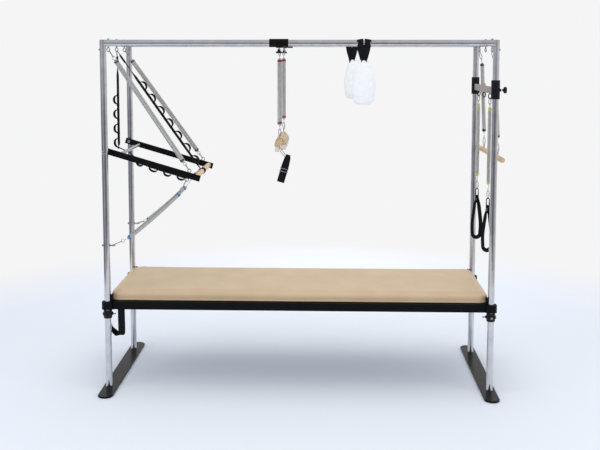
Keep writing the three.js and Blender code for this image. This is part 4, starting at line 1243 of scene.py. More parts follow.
@dataclass(frozen=True)
class PushBar:
    """The push bar: two flat arms on pins through the left posts, a cross rod and a dowel."""

    canopy: Canopy
    pivot_drop: float = 633
    arm_inset: float = 45
    slope: float = math.radians(16.4)
    tip: float = 573
    arm_height: float = 36
    arm_thickness: float = 12
    tail: float = 22
    rod_at: float = 75
    handle_at: float = 545
    handle_radius: float = 16
    eye_at: float = 500
    eye_radius: float = 10
    eye_wire: float = 2.5

    @property
    def pivot(self) -> float:
        """Height of the pivots."""
        return self.canopy.rail_height - self.pivot_drop

    @property
    def spread(self) -> float:
        """Distance of an arm from the table's middle."""
        return self.canopy.half_width - self.arm_inset

    def point(self, distance: float, offset: float, y: float) -> Vector:
        """Returns a point by its distance along an arm and its offset above it."""
        along = at(math.cos(self.slope), 0, -math.sin(self.slope))
        above = at(math.sin(self.slope), 0, math.cos(self.slope))
        return at(-self.canopy.half_length, y, self.pivot) + along * distance + above * offset

    def eye(self, side: int, rise: int) -> Eye:
        """Returns the upper or lower eye of an arm."""
        offset = rise * (self.arm_height / 2 + self.eye_radius)
        return Eye(self.point(self.eye_at, offset, side * self.spread), self.eye_radius,
                   self.eye_wire)

    def build(self) -> list[bpy.types.Object]:
        """Makes the arms, the cross rod and the dowel."""
        return [self.arm(face) for face in FACES] + [self.rod(), self.handle()]

    def arm(self, face: tuple[str, int]) -> bpy.types.Object:
        """Makes one arm with its pin, washers and two eyes.

        Args:
            face: Name and sign of the face.

        Returns:
            The arm.
        """
        name = f"push_bar_arm_{face[0]}"
        shape = Shape(f"{name}_steel", "push_bar")
        section = rounded(self.arm_thickness, self.arm_height, 1.6, 3)
        y = face[1] * self.spread
        path = [self.point(d, 0, y) for d in (-self.tail, -self.tail + 1.2, self.tip / 2,
                                              self.tip - 1.2, self.tip)]
        ease = (0.9, 0.96)
        shape.sweep(path, section, SATIN_COAT, up=self.point(0, 1, 0) - self.point(0, 0, 0),
                    scales=[ease, (1, 1), (1, 1), (1, 1), ease])
        out = Y * face[1]
        pin = self.point(0, 0, y)
        near = self.canopy.half_width - self.spread - self.canopy.radius - 0.4
        far = near + 2 * self.canopy.radius + 0.8
        shape.lathe(pin, out, [(self.arm_thickness / 2 - 1, 14), (near - 2, 14), (near, 12)],
                    FITTING, 32)
        shape.lathe(pin, out, [(near - 1, 6), (far + 2, 6)], FITTING, 24)
        shape.lathe(pin, out, [(far, 12.5), (far + 1.8, 12.5), (far + 2, 11.8)], FITTING, 32)
        shape.lathe(pin, out, [(far + 1.6, 10.6), (far + 6.2, 10.6), (far + 7.2, 8.8)], FITTING, 6)
        inner = self.arm_thickness / 2
        shape.lathe(pin, -out, [(inner - 1, 10), (inner + 2.4, 10), (inner + 3.4, 8.4)],
                    FITTING, 6)
        for rise in (-1, 1):
            eye = self.eye(face[1], rise)
            eye.build(shape, self.point(0, 1, 0) - self.point(0, 0, 0),
                      self.point(1, 0, 0) - self.point(0, 0, 0), FITTING)
            foot = self.point(self.eye_at, rise * (self.arm_height / 2 - 1), y)
            shape.lathe(foot, eye.centre - foot, [(0, 6.5), (2.2, 6.5), (3, 5)], FITTING, 24)
        if face[0] == "front":
            shape.lathe(self.point(self.handle_at, 0, y + self.arm_thickness / 2 * face[1]), out,
                        [(-1, 6.4), (1.6, 6.4), (2.4, 5.2)], GLOSS_COAT, 24)
        return shape.piece(name, "satin_black_paint")

    def rod(self) -> bpy.types.Object:
        """Makes the plain steel cross rod between the arms."""
        shape = Shape("push_bar_cross_rod_steel", "push_bar")
        reach = self.spread - self.arm_thickness / 2 - 0.3
        shape.lathe(self.point(self.rod_at, 0, -reach), Y, rod_profile(2 * reach, 10, 1),
                    FITTING, 36)
        return shape.piece("push_bar_cross_rod", "zinc_steel")

    def handle(self) -> bpy.types.Object:
        """Makes the maple dowel that is held."""
        shape = Shape("push_bar_handle_maple", "push_bar")
        reach = self.spread - self.arm_thickness / 2 - 0.3
        shape.lathe(self.point(self.handle_at, 0, -reach), Y,
                    rod_profile(2 * reach, self.handle_radius, 1.5), MAPLE, 40)
        return shape.piece("push_bar_handle", "maple")


@dataclass(frozen=True)
class PushBarSprings:
    """The four springs of the push bar: two from the canopy and two from the posts."""

    eyebolts: Eyebolts
    bar: PushBar
    upper: Spring = Spring(15, TipColour.GREEN, 88, 74)
    lower: Spring = Spring(14, TipColour.BLUE, 100, 96, sag=6, start_shift=(0, -38),
                           end_shift=(0, -42))

    def build(self) -> list[bpy.types.Object]:
        """Makes the springs from the frame to the bar."""
        pieces = []
        lower = {"front": replace(self.lower, lead_start=129, lead_end=67),
                 "rear": replace(self.lower, lead_end=150)}
        for face, sign in FACES:
            high = Eye(self.eyebolts.eye_centre(-1, sign), self.eyebolts.eye_radius)
            low = Eye(self.eyebolts.post_eye(sign), self.eyebolts.eye_radius)
            for kind, spring, start, rise in (("upper", self.upper, high, 1),
                                              ("lower", lower[face], low, -1)):
                name = f"push_bar_{kind}_spring_{face}"
                shape = Shape(f"{name}_wire", "")
                end = self.bar.eye(sign, rise)
                across = (end.centre - start.centre).cross(X).normalized()
                spring.build(shape, start, end, Y if kind == "upper" else across)
                piece = shape.piece(name, "zinc_steel")
                stretch(piece, start.centre)
                pieces.append(piece)
        return pieces


def stretch(piece: bpy.types.Object, start: Vector) -> None:
    """Bakes a piece's placement into its mesh."""
    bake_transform(piece)


@dataclass(frozen=True)
class DaisyStraps:
    """Two daisy chain straps of black webbing from the canopy to the push bar's dowel."""

    eyebolts: Eyebolts
    bar: PushBar
    strap: Strap = Strap()
    offset: float = 13.5
    hook_length: float = 34
    bulge: float = 30
    loop_length: float = 56
    turn: float = math.radians(48)
    loop_turn: float = math.radians(20)
    taut_count: int = 7
    taut_first: float = 0.24
    slack_first: float = 0.415
    slack_pitch: float = 0.155
    slack_count: int = 4
    slack_drops: tuple[float, ...] = (38, 52, 54, 51, 47)
    slack_shares: tuple[float, ...] = (0.03, 0.21, 0.435, 0.64, 0.85)

    def build(self) -> list[bpy.types.Object]:
        """Makes the taut strap and the slack one."""
        return [self.taut(), self.slack()]

    def start(self, shape: Shape, pull: Vector, y: float) -> Vector:
        """Adds the snap link at the canopy and returns where the strap begins.

        Args:
            shape: The strap's piece.
            pull: Direction from the canopy to the strap.
            y: The strap's place across the table.

        Returns:
            The strap's first point.
        """
        eye = Eye(self.eyebolts.eye_centre(-1, 0), self.eyebolts.eye_radius)
        tip = eye.tip(pull, 1.8)
        ring = [point + Y * (y * 0.5 * share) for point, share in pear(
            tip, pull * (self.hook_length + 3), Y * 11, 0.4, 24)]
        shape.tube(ring, 1.8, FITTING, 10, loop=True)
        top = tip + pull * self.hook_length
        return at(top.x, y, top.z)

    def turned(self, along: Vector, angle: float) -> tuple[Vector, Vector]:
        """Returns the strap's aside and width directions when it is turned about itself."""
        aside = Y.cross(along).normalized()
        return (aside * math.cos(angle) + Y * math.sin(angle),
                Y * math.cos(angle) - aside * math.sin(angle))

    def run(self, shape: Shape, path: list[Vector], angles: list[float]) -> None:
        """Lays the strap along a path and twists it on its way.

        Args:
            shape: The strap's piece.
            path: Points along its middle.
            angles: How far it is turned at each point.
        """
        twist = []
        for i, angle in enumerate(angles):
            along = path[min(i + 1, len(path) - 1)] - path[max(i - 1, 0)]
            twist.append(self.turned(along, angle)[1])
        self.strap.lay(shape, path, twist[0], twist=twist)

    def loop(self, shape: Shape, start: Vector, end: Vector, bulge: float, angle: float) -> None:
        """Adds a half round loop, sewn on at both ends.

        Args:
            shape: The strap's piece.
            start: Where it leaves the strap.
            end: Where it comes back.
            bulge: How far it stands out.
            angle: How far the strap is turned there.
        """
        along = end - start
        aside, width = self.turned(along, angle)
        lift = aside * math.copysign(self.strap.thickness * 0.8, bulge)
        path = [start - along * 0.16 + lift, start - along * 0.02 + lift]
        for i in range(1, 12):
            turn = math.pi * i / 12
            path.append(start + along * ((1 - math.cos(turn)) / 2)
                        + aside * (bulge * math.sin(turn) ** 0.8))
        path += [end + along * 0.02 + lift, end + along * 0.16 + lift]
        self.strap.lay(shape, path, width)
        for point, way in ((start, -1), (end, 1)):
            row = [point + along * (way * step) for step in (0.03, 0.07, 0.1, 0.15)]
            self.strap.stitches(shape, row, width, 4.2)
            self.strap.stitches(shape, row, width, -2.4)

    def tab(self, shape: Shape, top: Vector, pull: Vector) -> None:
        """Adds the sewn up tab below the snap link.

        Args:
            shape: The strap's piece.
            top: The strap's first point.
            pull: Direction of the strap.
        """
        tab = Strap(self.strap.width, 8.5)
        length = self.loop_length
        tab.lay(shape, [top - pull, top + pull * 1.5, top + pull * (length - 1.5),
                        top + pull * length], Y, widths=[0.92, 1, 1, 0.92])
        rows = [top + pull * (4 + 2.6 * i) for i in range(16)]
        tab.stitches(shape, rows, Y, 4.4)
        tab.stitches(shape, rows, Y, -4.4)

    def wrap(self, shape: Shape, y: float) -> None:
        """Adds the band that goes round the dowel."""
        centre = self.bar.point(self.bar.handle_at, 0, y)
        radius = self.bar.handle_radius + 0.8 + self.strap.thickness / 2
        self.strap.lay(shape, loop_points(centre, X, Z, radius, 28), Y, loop=True)

    def taut(self) -> bpy.types.Object:
        """Makes the taut strap with its seven loops."""
        shape = Shape("daisy_strap_taut_webbing", "")
        y, turn = -self.offset, -self.turn
        handle = self.bar.point(self.bar.handle_at, 0, y)
        eye = self.eyebolts.eye_centre(-1, 0)
        pull = (at(handle.x, 0, handle.z) - eye).normalized()
        top = self.start(shape, pull, y)
        span = handle - pull * (self.bar.handle_radius + 2) - top
        shares = [0, 0.1, 0.16, 0.2, 0.4, 0.6, 0.8, 0.95, 1]
        angles = [0, 0, turn / 2, turn, turn, turn, turn, turn * 0.7, turn / 3]
        self.run(shape, [top + span * share for share in shares], angles)
        self.tab(shape, top, pull)
        pitch = (1 - self.taut_first) / self.taut_count
        for number in range(self.taut_count):
            first = top + span * (self.taut_first + number * pitch)
            self.loop(shape, first + pull * self.loop_length, first, self.bulge, -self.loop_turn)
        self.wrap(shape, y)
        piece = shape.piece("daisy_strap_taut", "black_webbing")
        stretch(piece, eye)
        return piece

    def slack(self) -> bpy.types.Object:
        """Makes the slack strap, which goes under the cross rod and sags to the dowel."""
        shape = Shape("daisy_strap_slack_webbing", "")
        y, turn = self.offset, self.turn
        handle = self.bar.point(self.bar.handle_at, 0, y)
        rod = self.bar.point(self.bar.rod_at, 0, y)
        top = self.start(shape, -Z, y)
        under = 10 + 0.8 + self.strap.thickness
        low = self.bar.pivot - 23
        leave = at(rod.x + under, y, rod.z - under - 4)
        wrap = self.bar.handle_radius + 3.4
        reach = at(handle.x - 30, y, handle.z - wrap + 3)
        hang = [leave.lerp(reach, share) - Z * drop
                for share, drop in zip(self.slack_shares, self.slack_drops)]
        drop = top.z - low
        shares = [0, 0.08, 0.14, 0.2, 0.5, 0.8, 0.94]
        self.run(shape, [top - Z * (drop * share) for share in shares],
                 [0, 0, -turn / 2, -turn, -turn, -turn, -turn])
        tail = curve([top - Z * (drop * 0.94), at(top.x + 2, y, low + 12),
                      at(rod.x - under * 0.9, y, leave.z), at(rod.x + 6, y, leave.z - 16), *hang,
                      reach, at(handle.x, y, handle.z - wrap + 1.5)], 7)
        last = len(tail) - 1
        angles = [-turn * max(0, 1 - i / 8) if i < 21 else
                  turn * min(1, (i - 21) / 7, (last - i) / 7) for i in range(last + 1)]
        self.run(shape, tail, angles)
        for number in range(self.slack_count):
            start = top - Z * (drop * (self.slack_first + self.slack_pitch * number))
            self.loop(shape, start - Z * self.loop_length, start, -self.bulge, -self.loop_turn)
        for first, second in zip(hang, hang[1:]):
            self.loop(shape, first.lerp(second, 0.2), first.lerp(second, 0.8), self.bulge,
                      self.loop_turn)
        self.tab(shape, top, -Z)
        self.wrap(shape, y)
        piece = shape.piece("daisy_strap_slack", "black_webbing")
        stretch(piece, self.eyebolts.eye_centre(-1, 0))
        return piece


@dataclass(frozen=True)
class Knob:
    """A moulded mushroom knob on a plated shank."""

    shank: float
    stem: float
    brim_radius: float
    brim_length: float
    shank_radius: float = 4.5
    stem_radius: float = 8

    def build(self, name: str, start: Vector, along: Vector) -> bpy.types.Object:
        """Makes the knob.

        Args:
            name: The CAD node that it stands for, which is also its body's name.
            start: Where the shank begins.
            along: Direction of the knob.

        Returns:
            The knob.
        """
        shape = Shape(f"{name}_nylon", name)
        brim = self.shank + self.stem
        top = brim + self.brim_length
        shape.lathe(start, along, [(0, self.shank_radius), (self.shank + 1, self.shank_radius)],
                    FITTING, 24)
        radius, edge = self.brim_radius, min(3.2, self.brim_length * 0.32)
        profile = [(self.shank, self.stem_radius - 1), (self.shank + 1, self.stem_radius),
                   (brim - 2, self.stem_radius), (brim, self.stem_radius + 1.6)]
        profile += [(brim + edge * (1 - math.cos(a)), radius - edge * (1 - math.sin(a)))
                    for a in (0.0, 0.5, 1.0, 1.57)]
        profile += [(top - edge * (1 - math.cos(a)) - 0.8, radius - edge * (1 - math.sin(a)))
                    for a in (1.57, 1.0, 0.5, 0.0)]
        profile += [(top - 0.3, radius * 0.6), (top, radius * 0.2)]
        first = len(shape.points)
        shape.lathe(start, along, profile, MOULDED, 48)
        self.flute(shape, first, start, along.normalized(), radius)
        return shape.piece(name, "black_plastic")

    def flute(self, shape: Shape, first: int, start: Vector, axis: Vector,
              radius: float) -> None:
        """Presses shallow grip flutes into the brim's rim.

        Args:
            shape: The knob's piece.
            first: Number of the knob's first point.
            start: Where the shank begins.
            axis: The knob's axis.
            radius: Radius of the rim.
        """
        one, two = sides_of(axis)
        for i in range(first, len(shape.points)):
            arm = shape.points[i] - start
            way = arm.dot(axis)
            spoke = arm - axis * way
            if spoke.length > radius * 0.86:
                angle = math.atan2(spoke.dot(two), spoke.dot(one))
                dent = 0.9 * max(0.0, math.cos(12 * angle))
                shape.points[i] -= spoke.normalized() * dent


@dataclass(frozen=True)
class Trolley:
    """The trolley: sleeves on both top rails, a cross tube, two eyes and a knob below each."""

    canopy: Canopy
    place: float = -112
    sleeve: float = 110
    radius: float = 24
    bar_radius: float = 12.5
    eye_inset: float = 90
    eye_drop: float = 2
    boss_radius: float = 9
    boss_height: float = 3
    knob: Knob = Knob(9, 12, 18, 11)

    def eye(self, side: int) -> Eye:
        """Returns the eye on one side of the trolley."""
        height = self.canopy.rail_height - self.bar_radius - self.eye_drop - 12
        return Eye(at(self.place, side * (self.canopy.half_width - self.eye_inset), height))

    def build(self) -> list[bpy.types.Object]:
        """Makes the trolley and its knobs."""
        shape = Shape("trolley_steel", "trolley")
        bore = self.canopy.radius + 0.6
        length, radius = self.sleeve, self.radius
        for _, side in FACES:
            start = at(self.place - length / 2, side * self.canopy.half_width,
                       self.canopy.rail_height)
            shape.lathe(start, X, sleeve_profile(length, bore, radius), SATIN_COAT, 48)
            low = self.canopy.rail_height - radius - self.boss_height
            shape.lathe(at(self.place, side * self.canopy.half_width, low), Z, [
                (0, self.boss_radius - 1), (0.8, self.boss_radius),
                (self.boss_height + 2, self.boss_radius)], SATIN_COAT, 6)
            self.fillet(shape, side)
            eye = self.eye(side)
            eye.build(shape, Y, Z, FITTING)
            shape.lathe(eye.centre + Z * (eye.radius - 1), Z, [(0, 4), (8, 4)], FITTING, 20)
            shape.lathe(eye.centre + Z * (eye.radius + 3 - 1.4), Z, [(0, 7), (2, 7)], FITTING, 28)
            top = self.canopy.rail_height + self.bar_radius
            shape.lathe(at(self.place, eye.centre.y, top - 0.5), Z, [(0, 7), (5.5, 7), (6.4, 5.8)],
                        FITTING, 6)
        reach = self.canopy.half_width - radius + 3
        shape.lathe(at(self.place, -reach, self.canopy.rail_height), Y, [
            (0, self.bar_radius), (reach, self.bar_radius), (2 * reach, self.bar_radius)],
            SATIN_COAT, 40)
        pieces = [shape.piece("trolley", "satin_black_paint")]
        start = self.canopy.rail_height - radius - self.boss_height - 0.3
        for face, side in FACES:
            pieces.append(self.knob.build(f"trolley_knob_{face}",
                                          at(self.place, side * self.canopy.half_width, start),
                                          -Z))
        return pieces

    def fillet(self, shape: Shape, side: int) -> None:
        """Adds the weld bead where the cross tube meets a sleeve."""
        y = side * (self.canopy.half_width - self.radius + 1.5)
        ring = [at(self.place, 0, self.canopy.rail_height) + Y * y + point
                for point in loop_points(at(0, 0, 0), X, Z, self.bar_radius + 0.6, 32)]
        shape.tube(ring, 2.2, SATIN_COAT, 8, loop=True)


@dataclass(frozen=True)
class Trapeze:
    """The trapeze: two springs, a maple dowel, a canvas sling over it and a foot strap."""

    trolley: Trolley
    height: float = 1480
    radius: float = 17
    length: float = 552
    eye_radius: float = 9
    eye_wire: float = 2.5
    spring: Spring = Spring(14.5, TipColour.CRIMSON, 76, 88)
    sling_length: float = 438
    left_drop: float = 60
    right_drop: float = 50
    sling_thick: float = 3.0
    stations: int = 45

    def eye(self, side: int, rise: int) -> Eye:
        """Returns an eye above or below the dowel."""
        place = self.trolley.eye(side).centre.y
        return Eye(at(self.trolley.place, place,
                      self.height + rise * (self.radius + self.eye_radius)),
                   self.eye_radius, self.eye_wire)

    def build(self) -> list[bpy.types.Object]:
        """Makes the springs, the dowel, the sling and the foot strap."""
        pieces = []
        for face, side in FACES:
            shape = Shape(f"trapeze_spring_{face}_wire", "trapeze")
            self.spring.build(shape, self.trolley.eye(side), self.eye(side, 1), X)
            pieces.append(shape.piece(f"trapeze_spring_{face}", "zinc_steel"))
        dowel, sling, hems = self.dowel(), self.sling(), self.hems()
        flat = (self.cloth_width(), mm(self.sling_length))
        return [*pieces, dowel, sling, hems, self.foot_strap()]

    def cloth_width(self) -> float:
        """Returns the sling's flat width over the dowel, in metres."""
        line = self.drape_line(0.5)
        return mm(sum((b - a).length for a, b in zip(line, line[1:])))

    def dowel(self) -> bpy.types.Object:
        """Makes the maple dowel with its screw eyes."""
        shape = Shape("trapeze_bar_maple", "trapeze")
        half, radius = self.length / 2, self.radius
        shape.lathe(at(self.trolley.place, -half, self.height), Y,
                    rod_profile(self.length, radius, 2), MAPLE, 40)
        for side, rise in ((-1, 1), (1, 1), (-1, -1)):
            self.eye(side, rise).screw(shape, Z * -rise)
        return shape.piece("trapeze_bar", "maple")

    def rows(self) -> list[list[Vector]]:
        """Returns the sling's lines across the dowel, from its front edge to its rear edge."""
        return [self.drape_line(i / (self.stations - 1)) for i in range(self.stations)]

    def sling(self) -> bpy.types.Object:
        """Makes the canvas sling that hangs over the dowel."""
        shape, rows, rings = Shape("trapeze_sling_canvas", "trapeze"), self.rows(), []
        for row in rows:
            over, under = [], []
            for j, point in enumerate(row):
                along = row[min(j + 1, len(row) - 1)] - row[max(j - 1, 0)]
                rise = Y.cross(along).normalized() * (self.sling_thick / 2)
                over.append(point + rise)
                under.append(point - rise)
            rings.append(over + under[::-1])
        shape.skin(rings, CANVAS)
        for end in (0, -1):
            shape.tube(rows[end], self.sling_thick * 0.75, CANVAS, 8)
        return shape.piece("trapeze_sling", "beige_canvas")

    def hems(self) -> bpy.types.Object:
        """Makes the pale felt bands that are sewn along the sling's two hems."""
        shape, rows = Shape("trapeze_sling_felt_hems", "trapeze"), self.rows()
        hem = Strap(30, self.sling_thick + 0.6, FELT)
        for side, lift in ((0, 8), (-1, 5)):
            hem.lay(shape, [row[side] - Z * lift for row in rows], Z)
        return shape.piece("trapeze_sling", "beige_canvas")

    def drape_line(self, share: float) -> list[Vector]:
        """Returns the sling's line across the dowel at one place along it.

        Args:
            share: The place as a share of the sling's length.

        Returns:
            Points from the left hem over the dowel to the right hem.
        """
        x, inner = self.trolley.place, self.radius + 0.8 + self.sling_thick / 2
        y = (share - 0.5) * self.sling_length
        open_share = min(1.0, 0.2 + min(share, 1 - share) / 0.06)
        wave = math.sin(share * 15.7) * 0.6 + math.sin(share * 31 + 1) * 0.4
        line = []
        for side, drop in ((-1, self.left_drop), (1, self.right_drop)):
            reach = (34 + 2.5 * wave * side) * open_share
            hem = self.height + inner - drop
            shoulder = inner + 6 * open_share
            fall = [at(x + side * reach * 0.94, y, hem + 0.8 * wave),
                    at(x + side * reach, y, hem + drop * 0.2),
                    at(x + side * max(reach, shoulder * 0.7), y, hem + drop * 0.42),
                    at(x + side * shoulder, y, self.height + inner * 0.2),
                    at(x + side * inner * 0.95, y, self.height + inner * 0.6)]
            line.append(fall if side < 0 else list(reversed(fall)))
        crown = [at(x - inner * 0.5, y, self.height + inner * 0.9),
                 at(x, y, self.height + inner),
                 at(x + inner * 0.5, y, self.height + inner * 0.9)]
        return curve([*line[0], *crown, *line[1]], 3)

    def foot_strap(self) -> bpy.types.Object:
        """Makes the padded foot strap on its ring, with the thin wires above it."""
        shape = Shape("trapeze_foot_strap_webbing", "trapeze")
        eye = self.eye(-1, -1)
        y, tip = eye.centre.y, eye.tip(-Z, 2)
        top = self.height - 97
        across = (X * 0.9 + Y * 0.4).normalized() * 10
        link = [point + X * (40 * share ** 1.4)
                for point, share in pear(tip, -Z * (tip.z - top - 6), across, 0.5, 28)]
        shape.tube(link, 2, FITTING, 10, loop=True)
        self.band(shape, y, top + 13)
        return shape.piece("trapeze_foot_strap", "black_webbing")

    def band(self, shape: Shape, y: float, top: float) -> None:
        """Adds the folded band, which shows its face, with two buckle bars across it.

        Args:
            shape: The foot strap's piece.
            y: Its place across the table.
            top: Height of its top.
        """
        x, lean, drop = self.trolley.place + 26, 46, 157
        way = (at(-lean, 0, -drop)).normalized()
        start = at(x + lean / 2, y, top)
        across = Y.cross(way).normalized()
        loops = [start + way * step - Y * 9 for step in (2, 14, 60, 120, 142)]
        turn = arc(start + way * 142, Y * -9, way * 16, 8)[1:-1]
        back = [start + way * step + Y * 9 for step in (142, 120, 60, 14, 2)]
        over = arc(start + way * 2, Y * 9, way * -7, 6)[1:-1]
        path = [*loops, *turn, *back, *over]
        widths = [0.68, 0.84] + [1] * (len(path) - 9) + [0.84, 0.68, 0.62, 0.6, 0.6, 0.6, 0.62]
        Strap(44, 8).lay(shape, path, across, loop=True, widths=widths)
        for level in (77, 94):
            middle = start + way * level
            for side in (-1, 1):
                bar = middle + Y * (side * 14)
                shape.tube([bar - across * 23, bar, bar + across * 23], 2.4, FITTING, 10)
            for side in (-1, 1):
                edge = middle + across * (side * 23)
                shape.tube([edge - Y * 14, edge, edge + Y * 14], 2.4, FITTING, 10)


@dataclass(frozen=True)
class FleeceCuffs:
    """Two sheepskin cuffs slung over the top rails on black webbing."""

    canopy: Canopy
    places: tuple[tuple[str, float], ...] = (("front", 376), ("rear", 328))
    width: float = 140
    depth: float = 58
    height: float = 264
    drop: float = 112
    overlap: float = 22
    # Turns per millimetre of each layer of tufts, with its height.
    tufts: tuple[tuple[float, float], ...] = ((0.05, 1.8), (0.17, 0.7), (0.5, 0.4))

    def build(self) -> list[bpy.types.Object]:
        """Makes both cuffs."""
        pieces = []
        for (face, place), (_, side) in zip(self.places, FACES):
            pieces += [self.band(face, place, side), self.fleece(face, place, side)]
        return pieces

    def band(self, face: str, place: float, side: int) -> bpy.types.Object:
        """Makes the two crossing bands over the rail.

        Args:
            face: Name of the face.
            place: The cuff's place along the rail.
            side: Sign of the face.

        Returns:
            The bands.
        """
        shape = Shape(f"fleece_cuff_{face}_webbing", f"fleece_cuff_{face}")
        y, inner = side * self.canopy.half_width, self.canopy.radius + 0.8 + 1.5
        strap = Strap(38, 3)
        low = self.canopy.rail_height - self.drop - 14
        for shift, foot in ((-23, 6), (23, -6)):
            over = arc(at(place + shift, y, self.canopy.rail_height), Y * inner, Z * inner, 12)
            front = [at(place + foot * 0.3, y + 6, low),
                     at(place + shift * 0.1, y + 9, low + 34),
                     at(place + shift * 0.7, y + 17, low + 84)]
            back = [at(place + shift * 0.7, y - 17, low + 84),
                    at(place + shift * 0.1, y - 9, low + 34),
                    at(place - foot * 0.3, y - 6, low)]
            strap.lay(shape, curve([*front, *over, *back], 3), X)
        return shape.piece(f"fleece_cuff_{face}", "black_webbing")

    def fleece(self, face: str, place: float, side: int) -> bpy.types.Object:
        """Makes the folded sheepskin sleeve with its tufted pile.

        Args:
            face: Name of the face.
            place: The cuff's place along the rail.
            side: Sign of the face.

        Returns:
            The sleeve.
        """
        top = self.canopy.rail_height - self.drop + self.overlap
        low = top - self.height
        width, shift = (self.width, 0) if face == "front" else (self.width * 0.84, 8)
        shares = ((0, 0.5, 0.5), (0.05, 0.8, 0.8), (0.16, 0.92, 0.94), (0.3, 1, 1),
                  (0.45, 0.97, 1), (0.6, 0.9, 0.95), (0.75, 0.76, 0.84), (0.88, 0.58, 0.66),
                  (1, 0.32, 0.4))
        rings = []
        for level, wide, deep in shares:
            ring = []
            for k in range(32):
                angle = 2 * math.pi * k / 32
                fold = 1 - 0.16 * max(0.0, math.cos(angle - math.pi / 2)) ** 4 * level
                ring.append(at(place + shift + math.cos(angle) * wide * width / 2,
                               side * self.canopy.half_width
                               + math.sin(angle) * deep * fold * self.depth / 2,
                               low + level * self.height))
            rings.append(ring)
        shape = Shape(f"fleece_cuff_{face}_sheepskin", f"fleece_cuff_{face}")
        shape.skin(rings, FLEECE)
        piece = shape.piece(f"fleece_cuff_{face}", "white_fleece", 180)
        piece.modifiers.new("soft_form", "SUBSURF").levels = 3
        apply_all(piece)
        normals = [vertex.normal.copy() for vertex in piece.data.vertices]
        for vertex, normal in zip(piece.data.vertices, normals):
            point = vertex.co * 1000
            tuft = sum(noise.noise(point * pace) * height for pace, height in self.tufts)
            vertex.co += normal * mm(tuft)
        piece.data.shade_smooth()
        return piece


@dataclass(frozen=True)
class EndSlide:
    """The height adjustable end bar: sleeves on the right posts, a flat bar, eyes, knobs."""

    canopy: Canopy
    top_drop: float = 211
    sleeve: float = 109
    radius: float = 25
    bar_rise: float = 27
    bar_height: float = 40
    bar_thickness: float = 14
    bar_set_in: float = 3
    eye_radius: float = 15
    eye_inset: float = 150
    boss_radius: float = 10
    boss_length: float = 5
    knob_rise: float = 52
    knob: Knob = Knob(9, 8, 19, 16, shank_radius=4)

    @property
    def low(self) -> float:
        """Height of the sleeves' lower ends."""
        return self.canopy.rail_height - self.top_drop - self.sleeve

    def eye(self, place: int) -> Eye:
        """Returns one of the three eyes under the bar."""
        height = self.low + self.bar_rise - self.eye_radius - 1.5
        spread = self.canopy.half_width - self.eye_inset
        return Eye(at(self.canopy.half_length - self.bar_set_in, place * spread, height),
                   self.eye_radius, 3)

    def build(self) -> list[bpy.types.Object]:
        """Makes the slide and its two knobs."""
        shape = Shape("end_slide_steel", "end_slide")
        x, bore = self.canopy.half_length, self.canopy.radius + 0.6
        length, radius = self.sleeve, self.radius
        for _, side in FACES:
            start = at(x, side * self.canopy.half_width, self.low)
            # The sleeves' bluer, paler colour is painted sheen; only their extra gloss comes from
            # the shader.
            shape.lathe(start, Z, sleeve_profile(length, bore, radius), SLEEVE_COAT_WITH_PAINTED_SHEEN, 48)
            shape.lathe(start + Z * self.knob_rise + X * (radius - 3), X, [
                (0, self.boss_radius), (self.boss_length + 2.2, self.boss_radius),
                (self.boss_length + 3, self.boss_radius - 1)], SLEEVE_COAT_WITH_PAINTED_SHEEN, 6)
        bar_low = self.low + self.bar_rise
        half = self.canopy.half_width - radius + 4
        shape.block(at(x - self.bar_set_in - self.bar_thickness / 2, -half, bar_low),
                    at(x - self.bar_set_in + self.bar_thickness / 2, half,
                       bar_low + self.bar_height), TAUPE_COAT, 2.2)
        for place in (-1, 0, 1):
            eye = self.eye(place)
            eye.build(shape, (Y + X).normalized(), Z, GLOSS_COAT)
            for side in (-1, 1):
                shape.lathe(eye.centre + Y * (side * 5) + Z * (self.eye_radius - 4), Z,
                            [(0, 3.2), (7, 3.2)], GLOSS_COAT, 16)
        pieces = [shape.piece("end_slide", "satin_black_paint")]
        reach = radius + self.boss_length + 0.3
        for face, side in FACES:
            pieces.append(self.knob.build(f"end_slide_knob_{face}", at(
                x + reach, side * self.canopy.half_width, self.low + self.knob_rise), X))
        return pieces


